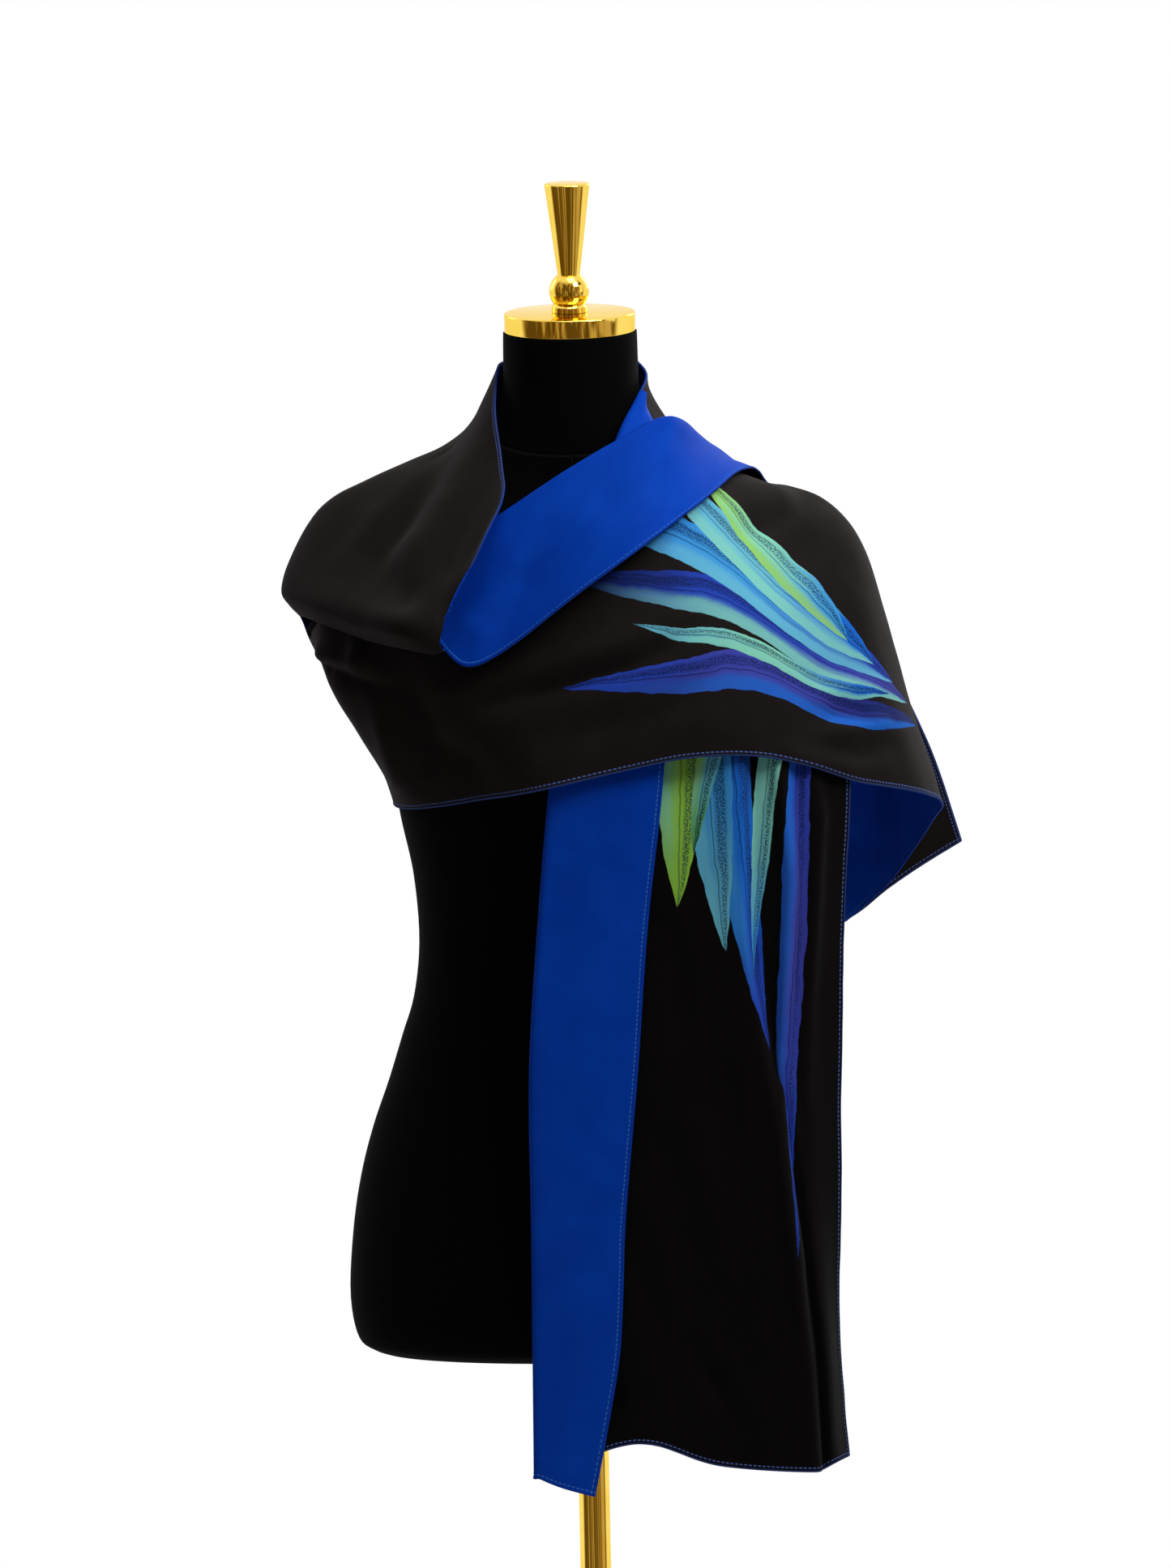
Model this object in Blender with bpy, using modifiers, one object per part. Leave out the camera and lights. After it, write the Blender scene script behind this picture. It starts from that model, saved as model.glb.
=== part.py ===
"""A long two-faced shawl wound round a limbless dress form on a pole.

The form faces -Y. X runs to the viewer's right, Z is up, and the origin is the centre of the
base's underside. Tables are in millimetres. One end of the shawl hangs in front, the cloth
passes over the shoulder on +X, round the nape and over the shoulder on -X, crosses the chest
with its upper margin turned down, and goes over the +X shoulder again to hang behind.
"""
import math

import bpy
import numpy as np
from mathutils import Vector
from mathutils.bvhtree import BVHTree

MM = 0.001

# Driving sizes of the cloth, in millimetres
WALL = 1.6
FOLD_RADIUS = 3.0
BODY_CLEARANCE = 3.0
LAYER_CLEARANCE = 2.6
SEAM_GAP = 0.3
FLAP_BULGE = 3.0

# Driving sizes of the stand, in millimetres
BASE_RADIUS = 150.0
BASE_HEIGHT = 14.0
BASE_EDGE = 3.0
SOCKET_RADIUS = 19.0
SOCKET_HEIGHT = 46.0
SOCKET_FLOOR = 18.0
SOCKET_CHAMFER = 1.5
SOCKET_FLARE = 6.0
POLE_RADIUS = 11.7
SEAT_GAP = 0.3
TORSO_BOTTOM = 729.0
NECK_TILT = math.radians(8.8)
NECK_PIVOT = (0.0, -6.0, 1440.0)
NECK_TOP = 1500.0
NECK_LEAN = 10.0
NECK_BLEND = 20.0
CAP_RADIUS = 49.5
CAP_HEIGHT = 14.5
CAP_EDGE = 1.2
FINIAL_FOOT_RADIUS = 13.4
FINIAL_FOOT_HEIGHT = 4.0
FINIAL_FOOT_NECK = 11.6
FINIAL_BALL_RADIUS = 15.0
FINIAL_BALL_CENTRE = 15.5
FINIAL_WAIST_RADIUS = 8.4
FINIAL_TOP_RADIUS = 17.0
FINIAL_HEIGHT = 97.0
FINIAL_EDGE = 1.4
ROUND_STEPS = 44
SLENDER_STEPS = 32

# The covered body: a row for each level, its half width, its depth in front of and behind the
# pole's line, and how far it leans forward
TORSO_COLUMNS = ("level", "half_width", "front", "back", "lean")
TORSO_LEVELS = (
    (729.0, 158.0, 92.0, 100.0, 0.0),
    (732.0, 166.0, 102.0, 108.0, 0.0),
    (740.0, 176.0, 112.0, 118.0, 0.0),
    (771.0, 182.0, 119.0, 126.0, 0.0),
    (821.0, 179.0, 117.0, 127.0, 0.0),
    (864.0, 172.0, 112.0, 122.0, 0.0),
    (901.0, 162.0, 106.0, 114.0, 0.0),
    (937.0, 149.0, 99.0, 104.0, 0.0),
    (971.0, 138.0, 93.0, 95.0, 0.0),
    (999.0, 129.0, 90.0, 88.0, 0.0),
    (1039.0, 124.0, 89.0, 84.0, 0.0),
    (1091.0, 127.0, 96.0, 88.0, 0.0),
    (1143.0, 137.0, 106.0, 95.0, 0.0),
    (1210.0, 144.0, 113.0, 101.0, 0.0),
    (1270.0, 149.0, 108.0, 104.0, 0.0),
    (1315.0, 161.0, 93.0, 102.0, 0.0),
    (1338.0, 166.0, 81.0, 94.0, 0.0),
    (1354.0, 162.0, 69.0, 82.0, 0.0),
    (1368.0, 142.0, 61.0, 70.0, 0.0),
    (1384.0, 110.0, 57.0, 62.0, 0.0),
    (1402.0, 80.0, 55.0, 56.0, 1.0),
    (1424.0, 60.0, 53.5, 53.0, 3.0),
    (1450.0, 52.5, 52.0, 51.0, 5.0),
    (NECK_TOP, 50.4, 50.4, 50.4, NECK_LEAN),
)
TORSO_STEPS = (1, 1, 1, 1, 1, 1, 1, 1, 1, 1, 1, 2, 2, 2, 2, 1, 1, 1, 1, 1, 1, 1, 2)
BUST_LEVEL = 1218.0
BUST_SIDE = 74.0
BUST_RISE = 17.0
BUST_SPREAD = 49.0

# The hanging end: a row for each level, then how far each line of the cloth lies from the
# middle of the form. The last row is the short hem, whose levels are given apart.
HANGING_COLUMNS = ("level", "strip_hem", "fold", "mid", "front", "ridge", "valley", "second", "edge")
HANGING_ROWS = (
    (1178.0, 62.0, -20.0, 50.0, 92.0, 121.0, 127.0, 147.0, 200.0),
    (1056.0, 47.0, -33.0, 45.0, 90.0, 120.0, 128.0, 155.0, 194.0),
    (953.0, 38.0, -41.0, 42.0, 92.0, 134.0, 141.0, 153.0, 190.0),
    (835.0, 26.0, -42.0, 42.0, 98.0, 149.0, 155.0, 164.0, 187.0),
    (740.0, 20.0, -43.0, 40.0, 100.0, 161.0, 166.0, 173.0, 184.5),
    (655.0, 0.0, -44.0, 34.0, 92.0, 166.0, 170.0, 177.0, 190.0),
)
HANGING_HEM_LEVELS = (638.0, 651.0, 675.0, 658.0, 652.0, 652.0, 656.0, 658.0)
HANGING_DEPTHS = (-143.0, -137.0, -135.0, -136.0, -139.0, -128.0, -130.0, -104.0)

# The first pass over the shoulder on +X: a row of points (x, y, z) from its turned-back hem
FIRST_PASS_COLUMNS = HANGING_COLUMNS[1:]
FIRST_PASS_ROWS = (
    ((68, -134, 1285), (-4, -126, 1280), (52, -126, 1278), (90, -126, 1275),
     (118, -122, 1268), (124, -115, 1265), (144, -108, 1260), (190, -78, 1245)),
    ((72, -104, 1362), (14, -98, 1362), (58, -96, 1356), (88, -90, 1348),
     (113, -84, 1338), (119, -78, 1334), (139, -72, 1322), (184, -46, 1300)),
    ((65, -60, 1417), (33, -68, 1418), (64, -54, 1406), (88, -48, 1396),
     (111, -42, 1384), (117, -38, 1379), (138, -32, 1366), (178, -8, 1328)),
    ((60, -30, 1447), (54, -26, 1457), (68, -12, 1432), (88, -4, 1411),
     (110, 0, 1394), (116, 3, 1389), (138, 12, 1370), (176, 36, 1334)),
)

# Round the nape and over the shoulder on -X, from the collar's top edge to the long hem
NAPE_COLUMNS = ("top", "collar", "shoulder", "brow", "tip", "tuck", "drop", "flank", "hem")
NAPE_ROWS = (
    ((47, 26, 1481), (66, 34, 1446), (90, 44, 1406), (108, 52, 1382),
     (132, 62, 1346), (152, 74, 1298), (158, 79, 1276), (165, 86, 1245), (172, 92, 1212)),
    ((26, 46, 1487), (38, 64, 1452), (52, 84, 1410), (64, 96, 1372),
     (76, 106, 1325), (86, 112, 1268), (89, 113, 1242), (93, 114, 1206), (98, 115, 1170)),
    ((0, 52, 1489), (0, 74, 1452), (0, 94, 1405), (0, 104, 1362),
     (0, 111, 1308), (0, 115, 1250), (0, 116, 1224), (0, 116, 1187), (0, 116, 1150)),
    ((-26, 46, 1487), (-42, 66, 1450), (-62, 86, 1409), (-82, 99, 1364),
     (-98, 107, 1305), (-104, 111, 1252), (-104, 111, 1222), (-102, 111, 1182), (-98, 109, 1142)),
    ((-47, 22, 1479), (-73, 37, 1434), (-116, 50, 1400), (-162, 58, 1364),
     (-188, 60, 1308), (-187, 62, 1280), (-180, 64, 1252), (-156, 66, 1200), (-132, 64, 1142)),
    ((-52, -6, 1470), (-91, 4, 1414), (-146, 8, 1394), (-193, 8, 1368),
     (-221, 0, 1308), (-208, -2, 1290), (-197, -3, 1262), (-164, -3, 1210), (-139, 0, 1146)),
)

# The soft roll of cloth that hangs from the shoulder on -X, from its free edge to its bottom
COWL_COLUMNS = ("edge", "collar", "upper", "lower", "front", "roll")
COWL_ROWS = (
    ((-58, -34, 1441), (-84, -34, 1408), (-130, -42, 1365), (-174, -52, 1325),
     (-196, -48, 1290), (-181, -46, 1273)),
    ((-53, -68, 1400), (-74, -80, 1374), (-105, -95, 1338), (-138, -108, 1300),
     (-154, -104, 1268), (-143, -92, 1255)),
    ((-53, -96, 1374), (-68, -109, 1350), (-92, -122, 1321), (-116, -135, 1288),
     (-127, -135, 1262), (-117, -123, 1250)),
    ((-70, -117, 1342), (-80, -124, 1326), (-92, -132, 1306), (-106, -141, 1282),
     (-111, -141, 1264), (-106, -132, 1250)),
    ((-87, -124, 1297), (-91, -129, 1288), (-95, -134, 1278), (-99, -137, 1268),
     (-101, -138, 1261), (-100, -133, 1254)),
)

# The crossing: the turned-down margin's free edge, the fold, then down to the long hem
CHEST_COLUMNS = ("flap_edge", "fold", "crown", "upper", "lower", "hem")
CHEST_ROWS = (
    ((-170, -60, 1264), (-164, -48, 1298), (-172, -50, 1274), (-168, -50, 1248),
     (-148, -60, 1199), (-118, -66, 1146)),
    ((-133, -94, 1254), (-114, -74, 1330), (-117, -84, 1300), (-115, -94, 1266),
     (-92, -110, 1206), (-75, -106, 1153)),
    ((-93, -126, 1257), (-58, -90, 1361), (-52, -104, 1326), (-45, -120, 1289),
     (-34, -138, 1223), (-27, -147, 1162)),
    ((-51, -138, 1264), (-10, -92, 1392), (-2, -106, 1355), (6, -126, 1318),
     (23, -149, 1247), (33, -152, 1175)),
    ((-6, -144, 1300), (34, -78, 1417), (44, -96, 1378), (55, -118, 1336),
     (74, -148, 1264), (87, -150, 1184)),
    ((43, -134, 1335), (65, -46, 1431), (78, -68, 1396), (91, -98, 1353),
     (119, -134, 1268), (141, -138, 1182)),
    ((91, -88, 1368), (95, -16, 1410), (118, -36, 1384), (138, -66, 1343),
     (172, -102, 1254), (202, -106, 1163)),
    ((140, -14, 1384), (117, 14, 1390), (168, -4, 1373), (203, -24, 1340),
     (228, -52, 1239), (257, -60, 1149)),
)

# The thrown end behind the shoulder on +X, in the same columns. The last row is its short hem.
THROWN_ROWS = (
    ((164, 34, 1374), (124, 40, 1378), (181, 22, 1373), (213, 10, 1342),
     (249, 0, 1222), (275, -5, 1138)),
    ((206, 66, 1328), (132, 62, 1350), (182, 52, 1344), (213, 44, 1304),
     (244, 44, 1210), (269, 46, 1122)),
    ((238, 96, 1246), (124, 104, 1264), (162, 96, 1250), (192, 88, 1220),
     (221, 88, 1160), (243, 100, 1078)),
    ((272, 108, 1172), (116, 126, 1140), (140, 124, 1130), (165, 122, 1115),
     (190, 120, 1085), (222, 118, 1056)),
    ((294, 110, 1102), (106, 138, 1000), (130, 138, 1008), (155, 138, 1018),
     (180, 136, 1028), (205, 132, 1040)),
)

# The line that the cloth is pushed away from: up the body, along the shoulders, up the neck
CORE = (
    ((0.0, 0.0, 600.0), (0.0, 0.0, 1330.0)),
    ((-110.0, 5.0, 1325.0), (110.0, 5.0, 1325.0)),
    ((0.0, -2.0, 1330.0), (0.0, -14.0, 1520.0)),
)
CORE_PULL = 2.0
RAY_REACH = 170.0
SPREAD_PASSES = 6


def clear_scene():
    for item in list(bpy.data.objects):
        bpy.data.objects.remove(item, do_unlink=True)


def new_collection(name):
    collection = bpy.data.collections.new(name)
    bpy.context.scene.collection.children.link(collection)
    return collection


def material(name, colour, roughness, metallic=0.0):
    made = bpy.data.materials.new(name)
    made.use_nodes = True
    shader = made.node_tree.nodes["Principled BSDF"]
    shader.inputs["Base Color"].default_value = (*colour, 1.0)
    shader.inputs["Roughness"].default_value = roughness
    shader.inputs["Metallic"].default_value = metallic
    return made


def add_mesh(name, points, faces, finish, collection):
    """Puts a mesh, whose points are in millimetres, into the collection."""
    mesh = bpy.data.meshes.new(name)
    mesh.from_pydata([tuple(float(v) * MM for v in point) for point in points], [], faces)
    mesh.update()
    mesh.shade_smooth()
    mesh.materials.append(finish)
    made = bpy.data.objects.new(name, mesh)
    collection.objects.link(made)
    return made


def smooth(rows, counts, before=None, after=None):
    """Runs a smooth curve through the rows, with a number of steps between each two.

    A row may be one point or a whole line of points. The curve leaves its ends as if it came
    from `before` and went on to `after`, so stretches that meet at a seam lie in one surface.
    """
    first = 0 if before is None else 1
    rows = ([] if before is None else [before]) + list(rows) + ([] if after is None else [after])
    rows = np.asarray(rows, float)
    flat = rows.reshape(len(rows), -1, 3)
    gaps = np.linalg.norm(np.diff(flat, axis=0), axis=2).mean(axis=1)
    gaps = np.sqrt(np.maximum(gaps, 1e-6))
    slopes = np.diff(flat, axis=0) / gaps[:, None, None]
    tangents = np.empty_like(flat)
    tangents[0] = slopes[0]
    tangents[-1] = slopes[-1]
    for i in range(1, len(flat) - 1):
        behind, ahead = gaps[i - 1], gaps[i]
        tangents[i] = (slopes[i - 1] * ahead + slopes[i] * behind) / (behind + ahead)
    result = [flat[first]]
    for i, count in enumerate(counts, first):
        for step in range(1, count + 1):
            t = step / count
            point = (2 * t**3 - 3 * t**2 + 1) * flat[i]
            point = point + (t**3 - 2 * t**2 + t) * gaps[i] * tangents[i]
            point = point + (-2 * t**3 + 3 * t**2) * flat[i + 1]
            point = point + (t**3 - t**2) * gaps[i] * tangents[i + 1]
            result.append(point)
    return np.asarray(result).reshape((len(result),) + rows.shape[1:])


def named(columns, rows):
    """The rows of a table, each with its entries by the names of their columns."""
    return [dict(zip(columns, row)) for row in rows]


def unit(vector):
    return vector / max(np.linalg.norm(vector), 1e-9)


def outward(point):
    """The direction away from the lines inside the form, mostly from the nearest of them."""
    total = np.zeros(3)
    for start, end in CORE:
        start, end = np.array(start), np.array(end)
        along = end - start
        share = np.clip(np.dot(point - start, along) / np.dot(along, along), 0.0, 1.0)
        away = point - (start + share * along)
        total = total + away / np.dot(away, away) ** CORE_PULL
    return unit(total)


def sheet_faces(grid):
    """The triangles of a grid of points, each quad cut along its shorter diagonal."""
    rows, columns = grid.shape[:2]
    faces = []
    for i in range(rows - 1):
        for j in range(columns - 1):
            a, b = i * columns + j, i * columns + j + 1
            c, d = b + columns, a + columns
            falling = np.linalg.norm(grid[i, j] - grid[i + 1, j + 1])
            rising = np.linalg.norm(grid[i, j + 1] - grid[i + 1, j])
            if falling < rising:
                faces += [(a, b, c), (a, c, d)]
            else:
                faces += [(a, b, d), (b, c, d)]
    return faces


def tree_of(points, faces):
    return BVHTree.FromPolygons([Vector(p) for p in points], faces)


def grid_tree(grid):
    return tree_of(grid.reshape(-1, 3), sheet_faces(grid))


def spread(amounts):
    """Softens a field of lifts without lowering any of them."""
    for _ in range(SPREAD_PASSES):
        padded = np.pad(amounts, 1, mode="edge")
        blurred = (
            padded[:-2, 1:-1] + padded[2:, 1:-1] + padded[1:-1, :-2] + padded[1:-1, 2:]
            + 4 * padded[1:-1, 1:-1]
        ) / 8
        amounts = np.maximum(amounts, blurred)
    return amounts


def halved(grid):
    """The grid with the middles of its edges and faces between its points."""
    rows, columns = grid.shape[:2]
    fine = np.empty((2 * rows - 1, 2 * columns - 1, 3))
    fine[::2, ::2] = grid
    fine[1::2, ::2] = (grid[:-1] + grid[1:]) / 2
    fine[:, 1::2] = (fine[:, :-1:2] + fine[:, 2::2]) / 2
    return fine


def lift_amounts(grid, layers):
    """How far each point of the cloth has to move outward to clear the layers under it.

    The faces round a point count too. A layer holds from its own first row of the grid on.
    """
    fine = halved(grid)
    needs = np.zeros(fine.shape[:2])
    for i in range(fine.shape[0]):
        for j in range(fine.shape[1]):
            away = outward(fine[i, j])
            origin = Vector(fine[i, j] + away * RAY_REACH)
            for tree, gap, start in layers:
                found = tree.ray_cast(origin, Vector(-away), RAY_REACH + gap)
                if i >= 2 * start and found[0] is not None:
                    needs[i, j] = max(needs[i, j], RAY_REACH + gap - found[3])
    padded = np.pad(needs, 1, mode="edge")
    amounts = np.zeros(grid.shape[:2])
    for i in range(3):
        for j in range(3):
            amounts = np.maximum(amounts, padded[i:i + fine.shape[0]:2, j:j + fine.shape[1]:2])
    return spread(amounts)


def moved_out(grid, amounts):
    directions = np.array([[outward(point) for point in row] for row in grid])
    return grid + directions * amounts[:, :, None]


def lift(grid, layers):
    return moved_out(grid, lift_amounts(grid, layers))


def lift_turned(grid, crest, layers):
    """Lifts cloth with a turned margin: the main run clears the layers, the margin clears it."""
    grid = grid.copy()
    amounts = lift_amounts(grid[:, crest:], layers)
    grid[:, crest:] = moved_out(grid[:, crest:], amounts)
    carried = np.repeat(amounts[:, :1], crest, axis=1)
    margin = moved_out(grid[:, :crest], carried)
    under = grid_tree(grid[:, crest + FOLD_STEPS // 2:])
    grid[:, :crest] = lift(margin, layers + [(under, WALL + LAYER_CLEARANCE, 0)])
    return grid


def fold_over(outer, crest, inner):
    """Points round a fold: from the side of `outer`, over the crest, to the side of `inner`."""
    up = unit(crest - (outer + inner) / 2)
    across = outward(crest)
    across = unit(across - up * np.dot(across, up))
    centre = crest - up * FOLD_RADIUS
    return [
        centre + FOLD_RADIUS * (across * math.cos(angle) + up * math.sin(angle))
        for angle in (math.pi * step / FOLD_STEPS for step in range(FOLD_STEPS + 1))
    ]


def wall_normals(grid, before, after):
    """The cloth's normals. Rows of the neighbouring stretches carry them across the seams."""
    first = 2 * grid[0] - grid[1] if before is None else before
    last = 2 * grid[-1] - grid[-2] if after is None else after
    rows = np.concatenate([first[None], grid, last[None]])
    along = rows[2:] - rows[:-2]
    across = np.gradient(grid, axis=1)
    normals = np.cross(across, along)
    return normals / np.linalg.norm(normals, axis=2, keepdims=True)


def drawn_back(row, inner):
    """A row at a seam, moved into its own stretch by half of the gap that the seam keeps."""
    way = inner - row
    return row + SEAM_GAP / 2 * way / np.linalg.norm(way, axis=1, keepdims=True)


def add_cloth(name, grid, finish, collection, before=None, after=None):
    """A wall of cloth on a grid of points, with half of its thickness on each side.

    Both walls at a seam are thickened along the same normals, so that their ends stay
    parallel. `before` and `after` are the next rows of the stretches sewn on there.
    """
    rows, columns = grid.shape[:2]
    normals = wall_normals(grid, before, after)
    grid = grid.copy()
    if before is not None:
        grid[0] = drawn_back(grid[0], grid[1])
    if after is not None:
        grid[-1] = drawn_back(grid[-1], grid[-2])
    upper = (grid + normals * WALL / 2).reshape(-1, 3)
    lower = (grid - normals * WALL / 2).reshape(-1, 3)
    count = rows * columns
    outer = sheet_faces(grid)
    faces = outer + [tuple(count + k for k in reversed(face)) for face in outer]
    border = [j for j in range(columns)]
    border += [i * columns + columns - 1 for i in range(1, rows)]
    border += [(rows - 1) * columns + j for j in range(columns - 2, -1, -1)]
    border += [i * columns for i in range(rows - 2, 0, -1)]
    for here, following in zip(border, border[1:] + border[:1]):
        faces.append((following, here, count + here, count + following))
    return add_mesh(name, np.concatenate([upper, lower]), faces, finish, collection)


# The dress form

def torso_rings():
    """Rings of points up the body, from its bottom to the top of its neck."""
    levels = named(TORSO_COLUMNS, TORSO_LEVELS)
    rows = [
        ((row["level"], row["half_width"], 0.0), (row["front"], row["back"], row["lean"]))
        for row in levels
    ]
    rings = []
    for (level, width, _), (front, back, lean) in smooth(rows, TORSO_STEPS):
        ring = []
        for step in range(ROUND_STEPS):
            angle = math.tau * step / ROUND_STEPS
            x = width * math.cos(angle)
            ahead = max(0.0, -math.sin(angle))
            y = (back if ahead == 0.0 else front) * math.sin(angle)
            for side in (-BUST_SIDE, BUST_SIDE):
                away = math.hypot(x - side, level - BUST_LEVEL) / BUST_SPREAD
                y -= BUST_RISE * math.exp(-away * away) * min(1.0, 2 * ahead)
            ring.append(tilted(np.array((x, y - lean, level))))
        rings.append(ring)
    return rings


def tilted(point):
    """Leans the neck forward: points above the pivot turn about it, the more the higher."""
    start = NECK_PIVOT[2] - NECK_BLEND
    share = np.clip((point[2] - start) / (NECK_TOP - start), 0.0, 1.0)
    rise = (point[1] - NECK_PIVOT[1]) * math.tan(NECK_TILT * share)
    return point + np.array((0.0, 0.0, rise))


def add_torso(finish, collection):
    rings = torso_rings()
    points = [point for ring in rings for point in ring]
    faces = []
    for i in range(len(rings) - 1):
        for j in range(ROUND_STEPS):
            k = (j + 1) % ROUND_STEPS
            faces.append((i * ROUND_STEPS + j, i * ROUND_STEPS + k,
                          (i + 1) * ROUND_STEPS + k, (i + 1) * ROUND_STEPS + j))
    faces.append(tuple(reversed(range(ROUND_STEPS))))
    last = (len(rings) - 1) * ROUND_STEPS
    faces.append(tuple(last + j for j in range(ROUND_STEPS)))
    add_mesh("torso", points, faces, finish, collection)
    return tree_of(points, faces)


def add_turned(name, profile, finish, collection, steps=ROUND_STEPS):
    """Turns a closed outline (radius, height), listed from the top down, about Z."""
    made = add_mesh(name, [(radius, 0.0, height) for radius, height in profile], [], finish, collection)
    mesh = made.data
    mesh.edges.add(len(profile) - 1)
    for i, edge in enumerate(mesh.edges):
        edge.vertices = (i, i + 1)
    screw = made.modifiers.new("Turn", "SCREW")
    screw.steps = steps
    screw.render_steps = steps
    screw.use_merge_vertices = True
    screw.merge_threshold = 0.0001
    screw.use_smooth_shade = True
    return made


def arc(centre, radius, start, end, steps):
    """Points on an arc of a profile, angles in degrees from +X."""
    return [
        (centre[0] + radius * math.cos(math.radians(start + (end - start) * i / steps)),
         centre[1] + radius * math.sin(math.radians(start + (end - start) * i / steps)))
        for i in range(steps + 1)
    ]


def seat_on_neck(item, height):
    """Places a turned piece on the neck's leaning axis, at a height above the neck's top."""
    seat = np.array((0.0, -NECK_LEAN, NECK_TOP))
    seat[2] += (seat[1] - NECK_PIVOT[1]) * math.tan(NECK_TILT)
    axis = np.array((0.0, -math.sin(NECK_TILT), math.cos(NECK_TILT)))
    item.location = Vector((seat + axis * height) * MM)
    item.rotation_euler = (NECK_TILT, 0.0, 0.0)


def add_neck_cap(finish, collection):
    inner = CAP_RADIUS - CAP_EDGE
    profile = [(0.0, CAP_HEIGHT), (inner, CAP_HEIGHT)]
    profile += arc((inner, CAP_HEIGHT - CAP_EDGE), CAP_EDGE, 90, 0, 3)[1:]
    profile += arc((inner, CAP_EDGE), CAP_EDGE, 0, -90, 3)
    profile += [(0.0, 0.0)]
    cap = add_turned("neck_cap", profile, finish, collection)
    seat_on_neck(cap, SEAT_GAP)


def add_finial(finish, collection):
    waist_angle = math.degrees(math.acos(FINIAL_WAIST_RADIUS / FINIAL_BALL_RADIUS))
    foot_angle = -math.degrees(math.acos(FINIAL_FOOT_NECK / FINIAL_BALL_RADIUS))
    inner = FINIAL_TOP_RADIUS - FINIAL_EDGE
    profile = [(0.0, FINIAL_HEIGHT), (inner, FINIAL_HEIGHT)]
    profile += arc((inner, FINIAL_HEIGHT - FINIAL_EDGE), FINIAL_EDGE, 90, 0, 3)[1:]
    profile += arc((0.0, FINIAL_BALL_CENTRE), FINIAL_BALL_RADIUS, waist_angle, foot_angle, 12)
    profile += [(FINIAL_FOOT_RADIUS, FINIAL_FOOT_HEIGHT), (FINIAL_FOOT_RADIUS, 0.0), (0.0, 0.0)]
    finial = add_turned("finial", profile, finish, collection, SLENDER_STEPS)
    seat_on_neck(finial, SEAT_GAP + CAP_HEIGHT + SEAT_GAP)


def add_base(finish, collection):
    bore = POLE_RADIUS + SEAT_GAP
    profile = [(0.0, SOCKET_FLOOR), (bore, SOCKET_FLOOR), (bore, SOCKET_HEIGHT)]
    profile += [(SOCKET_RADIUS - SOCKET_CHAMFER, SOCKET_HEIGHT)]
    profile += [(SOCKET_RADIUS, SOCKET_HEIGHT - SOCKET_CHAMFER)]
    profile += [(SOCKET_RADIUS, SOCKET_FLOOR), (SOCKET_RADIUS + SOCKET_FLARE, BASE_HEIGHT)]
    profile += arc((BASE_RADIUS - BASE_EDGE, BASE_HEIGHT - BASE_EDGE), BASE_EDGE, 90, 0, 3)
    profile += [(BASE_RADIUS, 0.0), (0.0, 0.0)]
    add_turned("base", profile, finish, collection)


def add_pole(finish, collection):
    bottom = SOCKET_FLOOR + SEAT_GAP
    top = TORSO_BOTTOM - SEAT_GAP
    profile = [(0.0, top), (POLE_RADIUS, top), (POLE_RADIUS, bottom), (0.0, bottom)]
    add_turned("pole", profile, finish, collection, SLENDER_STEPS)


# The shawl

# Steps of the grids: across a section, and from each section to the next
STRIP_STEPS = 4
FOLD_STEPS = 4
FLAP_STEPS = 5
HANGING_MAIN_STEPS = (5, 4, 4, 1, 2, 4)
CHEST_MAIN_STEPS = (3, 3, 5, 4)
NAPE_UPPER_STEPS = (3, 3, 3, 4, 2)
NAPE_LOWER_STEPS = (2, 2, 3)
FIRST_ROW_STEPS = (3, 3, 3, 3, 3, 3, 3, 2, 2)
NAPE_ROW_STEPS = (3, 3, 3, 3, 4, 4)
CHEST_ROW_STEPS = (3, 3, 3, 3, 3, 3, 3, 3, 3, 3, 3, 3, 3)
COWL_ROW_STEPS = (4, 4, 3, 3, 3)
PLEAT_START = 2
PLEAT_DEPTH = 7.0


def turned_section(edge, crest, rest, flap_steps, main_steps):
    """One section of cloth with a turned margin: free edge, fold, then the main run."""
    middle = (edge + crest) / 2
    middle = middle + outward(middle) * FLAP_BULGE
    turned = fold_over(middle, crest, rest[0])
    flap = smooth([edge, middle, turned[0]], (flap_steps - flap_steps // 2, flap_steps // 2))
    main = smooth([turned[-1], *rest], main_steps)
    return np.concatenate([flap, turned[1:-1], main])


def hanging_rows():
    """The hanging end's sections as points, from the crossing down to the short hem."""
    rows = []
    for row in named(HANGING_COLUMNS, HANGING_ROWS):
        level = row.pop("level")
        rows.append([(x, depth, level) for x, depth in zip(row.values(), HANGING_DEPTHS)])
    rows[-1] = [(x, depth, level) for (x, depth, _), level in zip(rows[-1], HANGING_HEM_LEVELS)]
    return rows


def resampled(line, count):
    """The same line with `count` points at even steps along it."""
    steps = np.linalg.norm(np.diff(line, axis=0), axis=1)
    along = np.concatenate([[0.0], np.cumsum(steps)])
    wanted = np.linspace(0.0, along[-1], count)
    return np.stack([np.interp(wanted, along, line[:, axis]) for axis in range(3)], axis=1)


def pleat_section(run):
    """The section where the pleat under the roll begins: a narrow margin turned over."""
    crest = run[0]
    down = unit(run[2] - run[0])
    edge = crest + down * PLEAT_DEPTH + outward(crest) * 2 * FOLD_RADIUS
    rest = resampled(run[2:], len(CHEST_MAIN_STEPS))
    return turned_section(edge, crest, rest, FLAP_STEPS, CHEST_MAIN_STEPS)


def sections(columns, rows, flap_steps, main_steps):
    """The sections of a table whose first column is the turned margin's free edge."""
    made = []
    for row in named(columns, rows):
        points = {name: np.array(point, float) for name, point in row.items()}
        edge = points.pop(columns[0])
        crest = points.pop("fold")
        made.append(turned_section(edge, crest, list(points.values()), flap_steps, main_steps))
    return made


def plain_sections(columns, rows, steps):
    """The sections of a table with no turned margin."""
    return [smooth(list(row.values()), steps) for row in named(columns, rows)]


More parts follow.
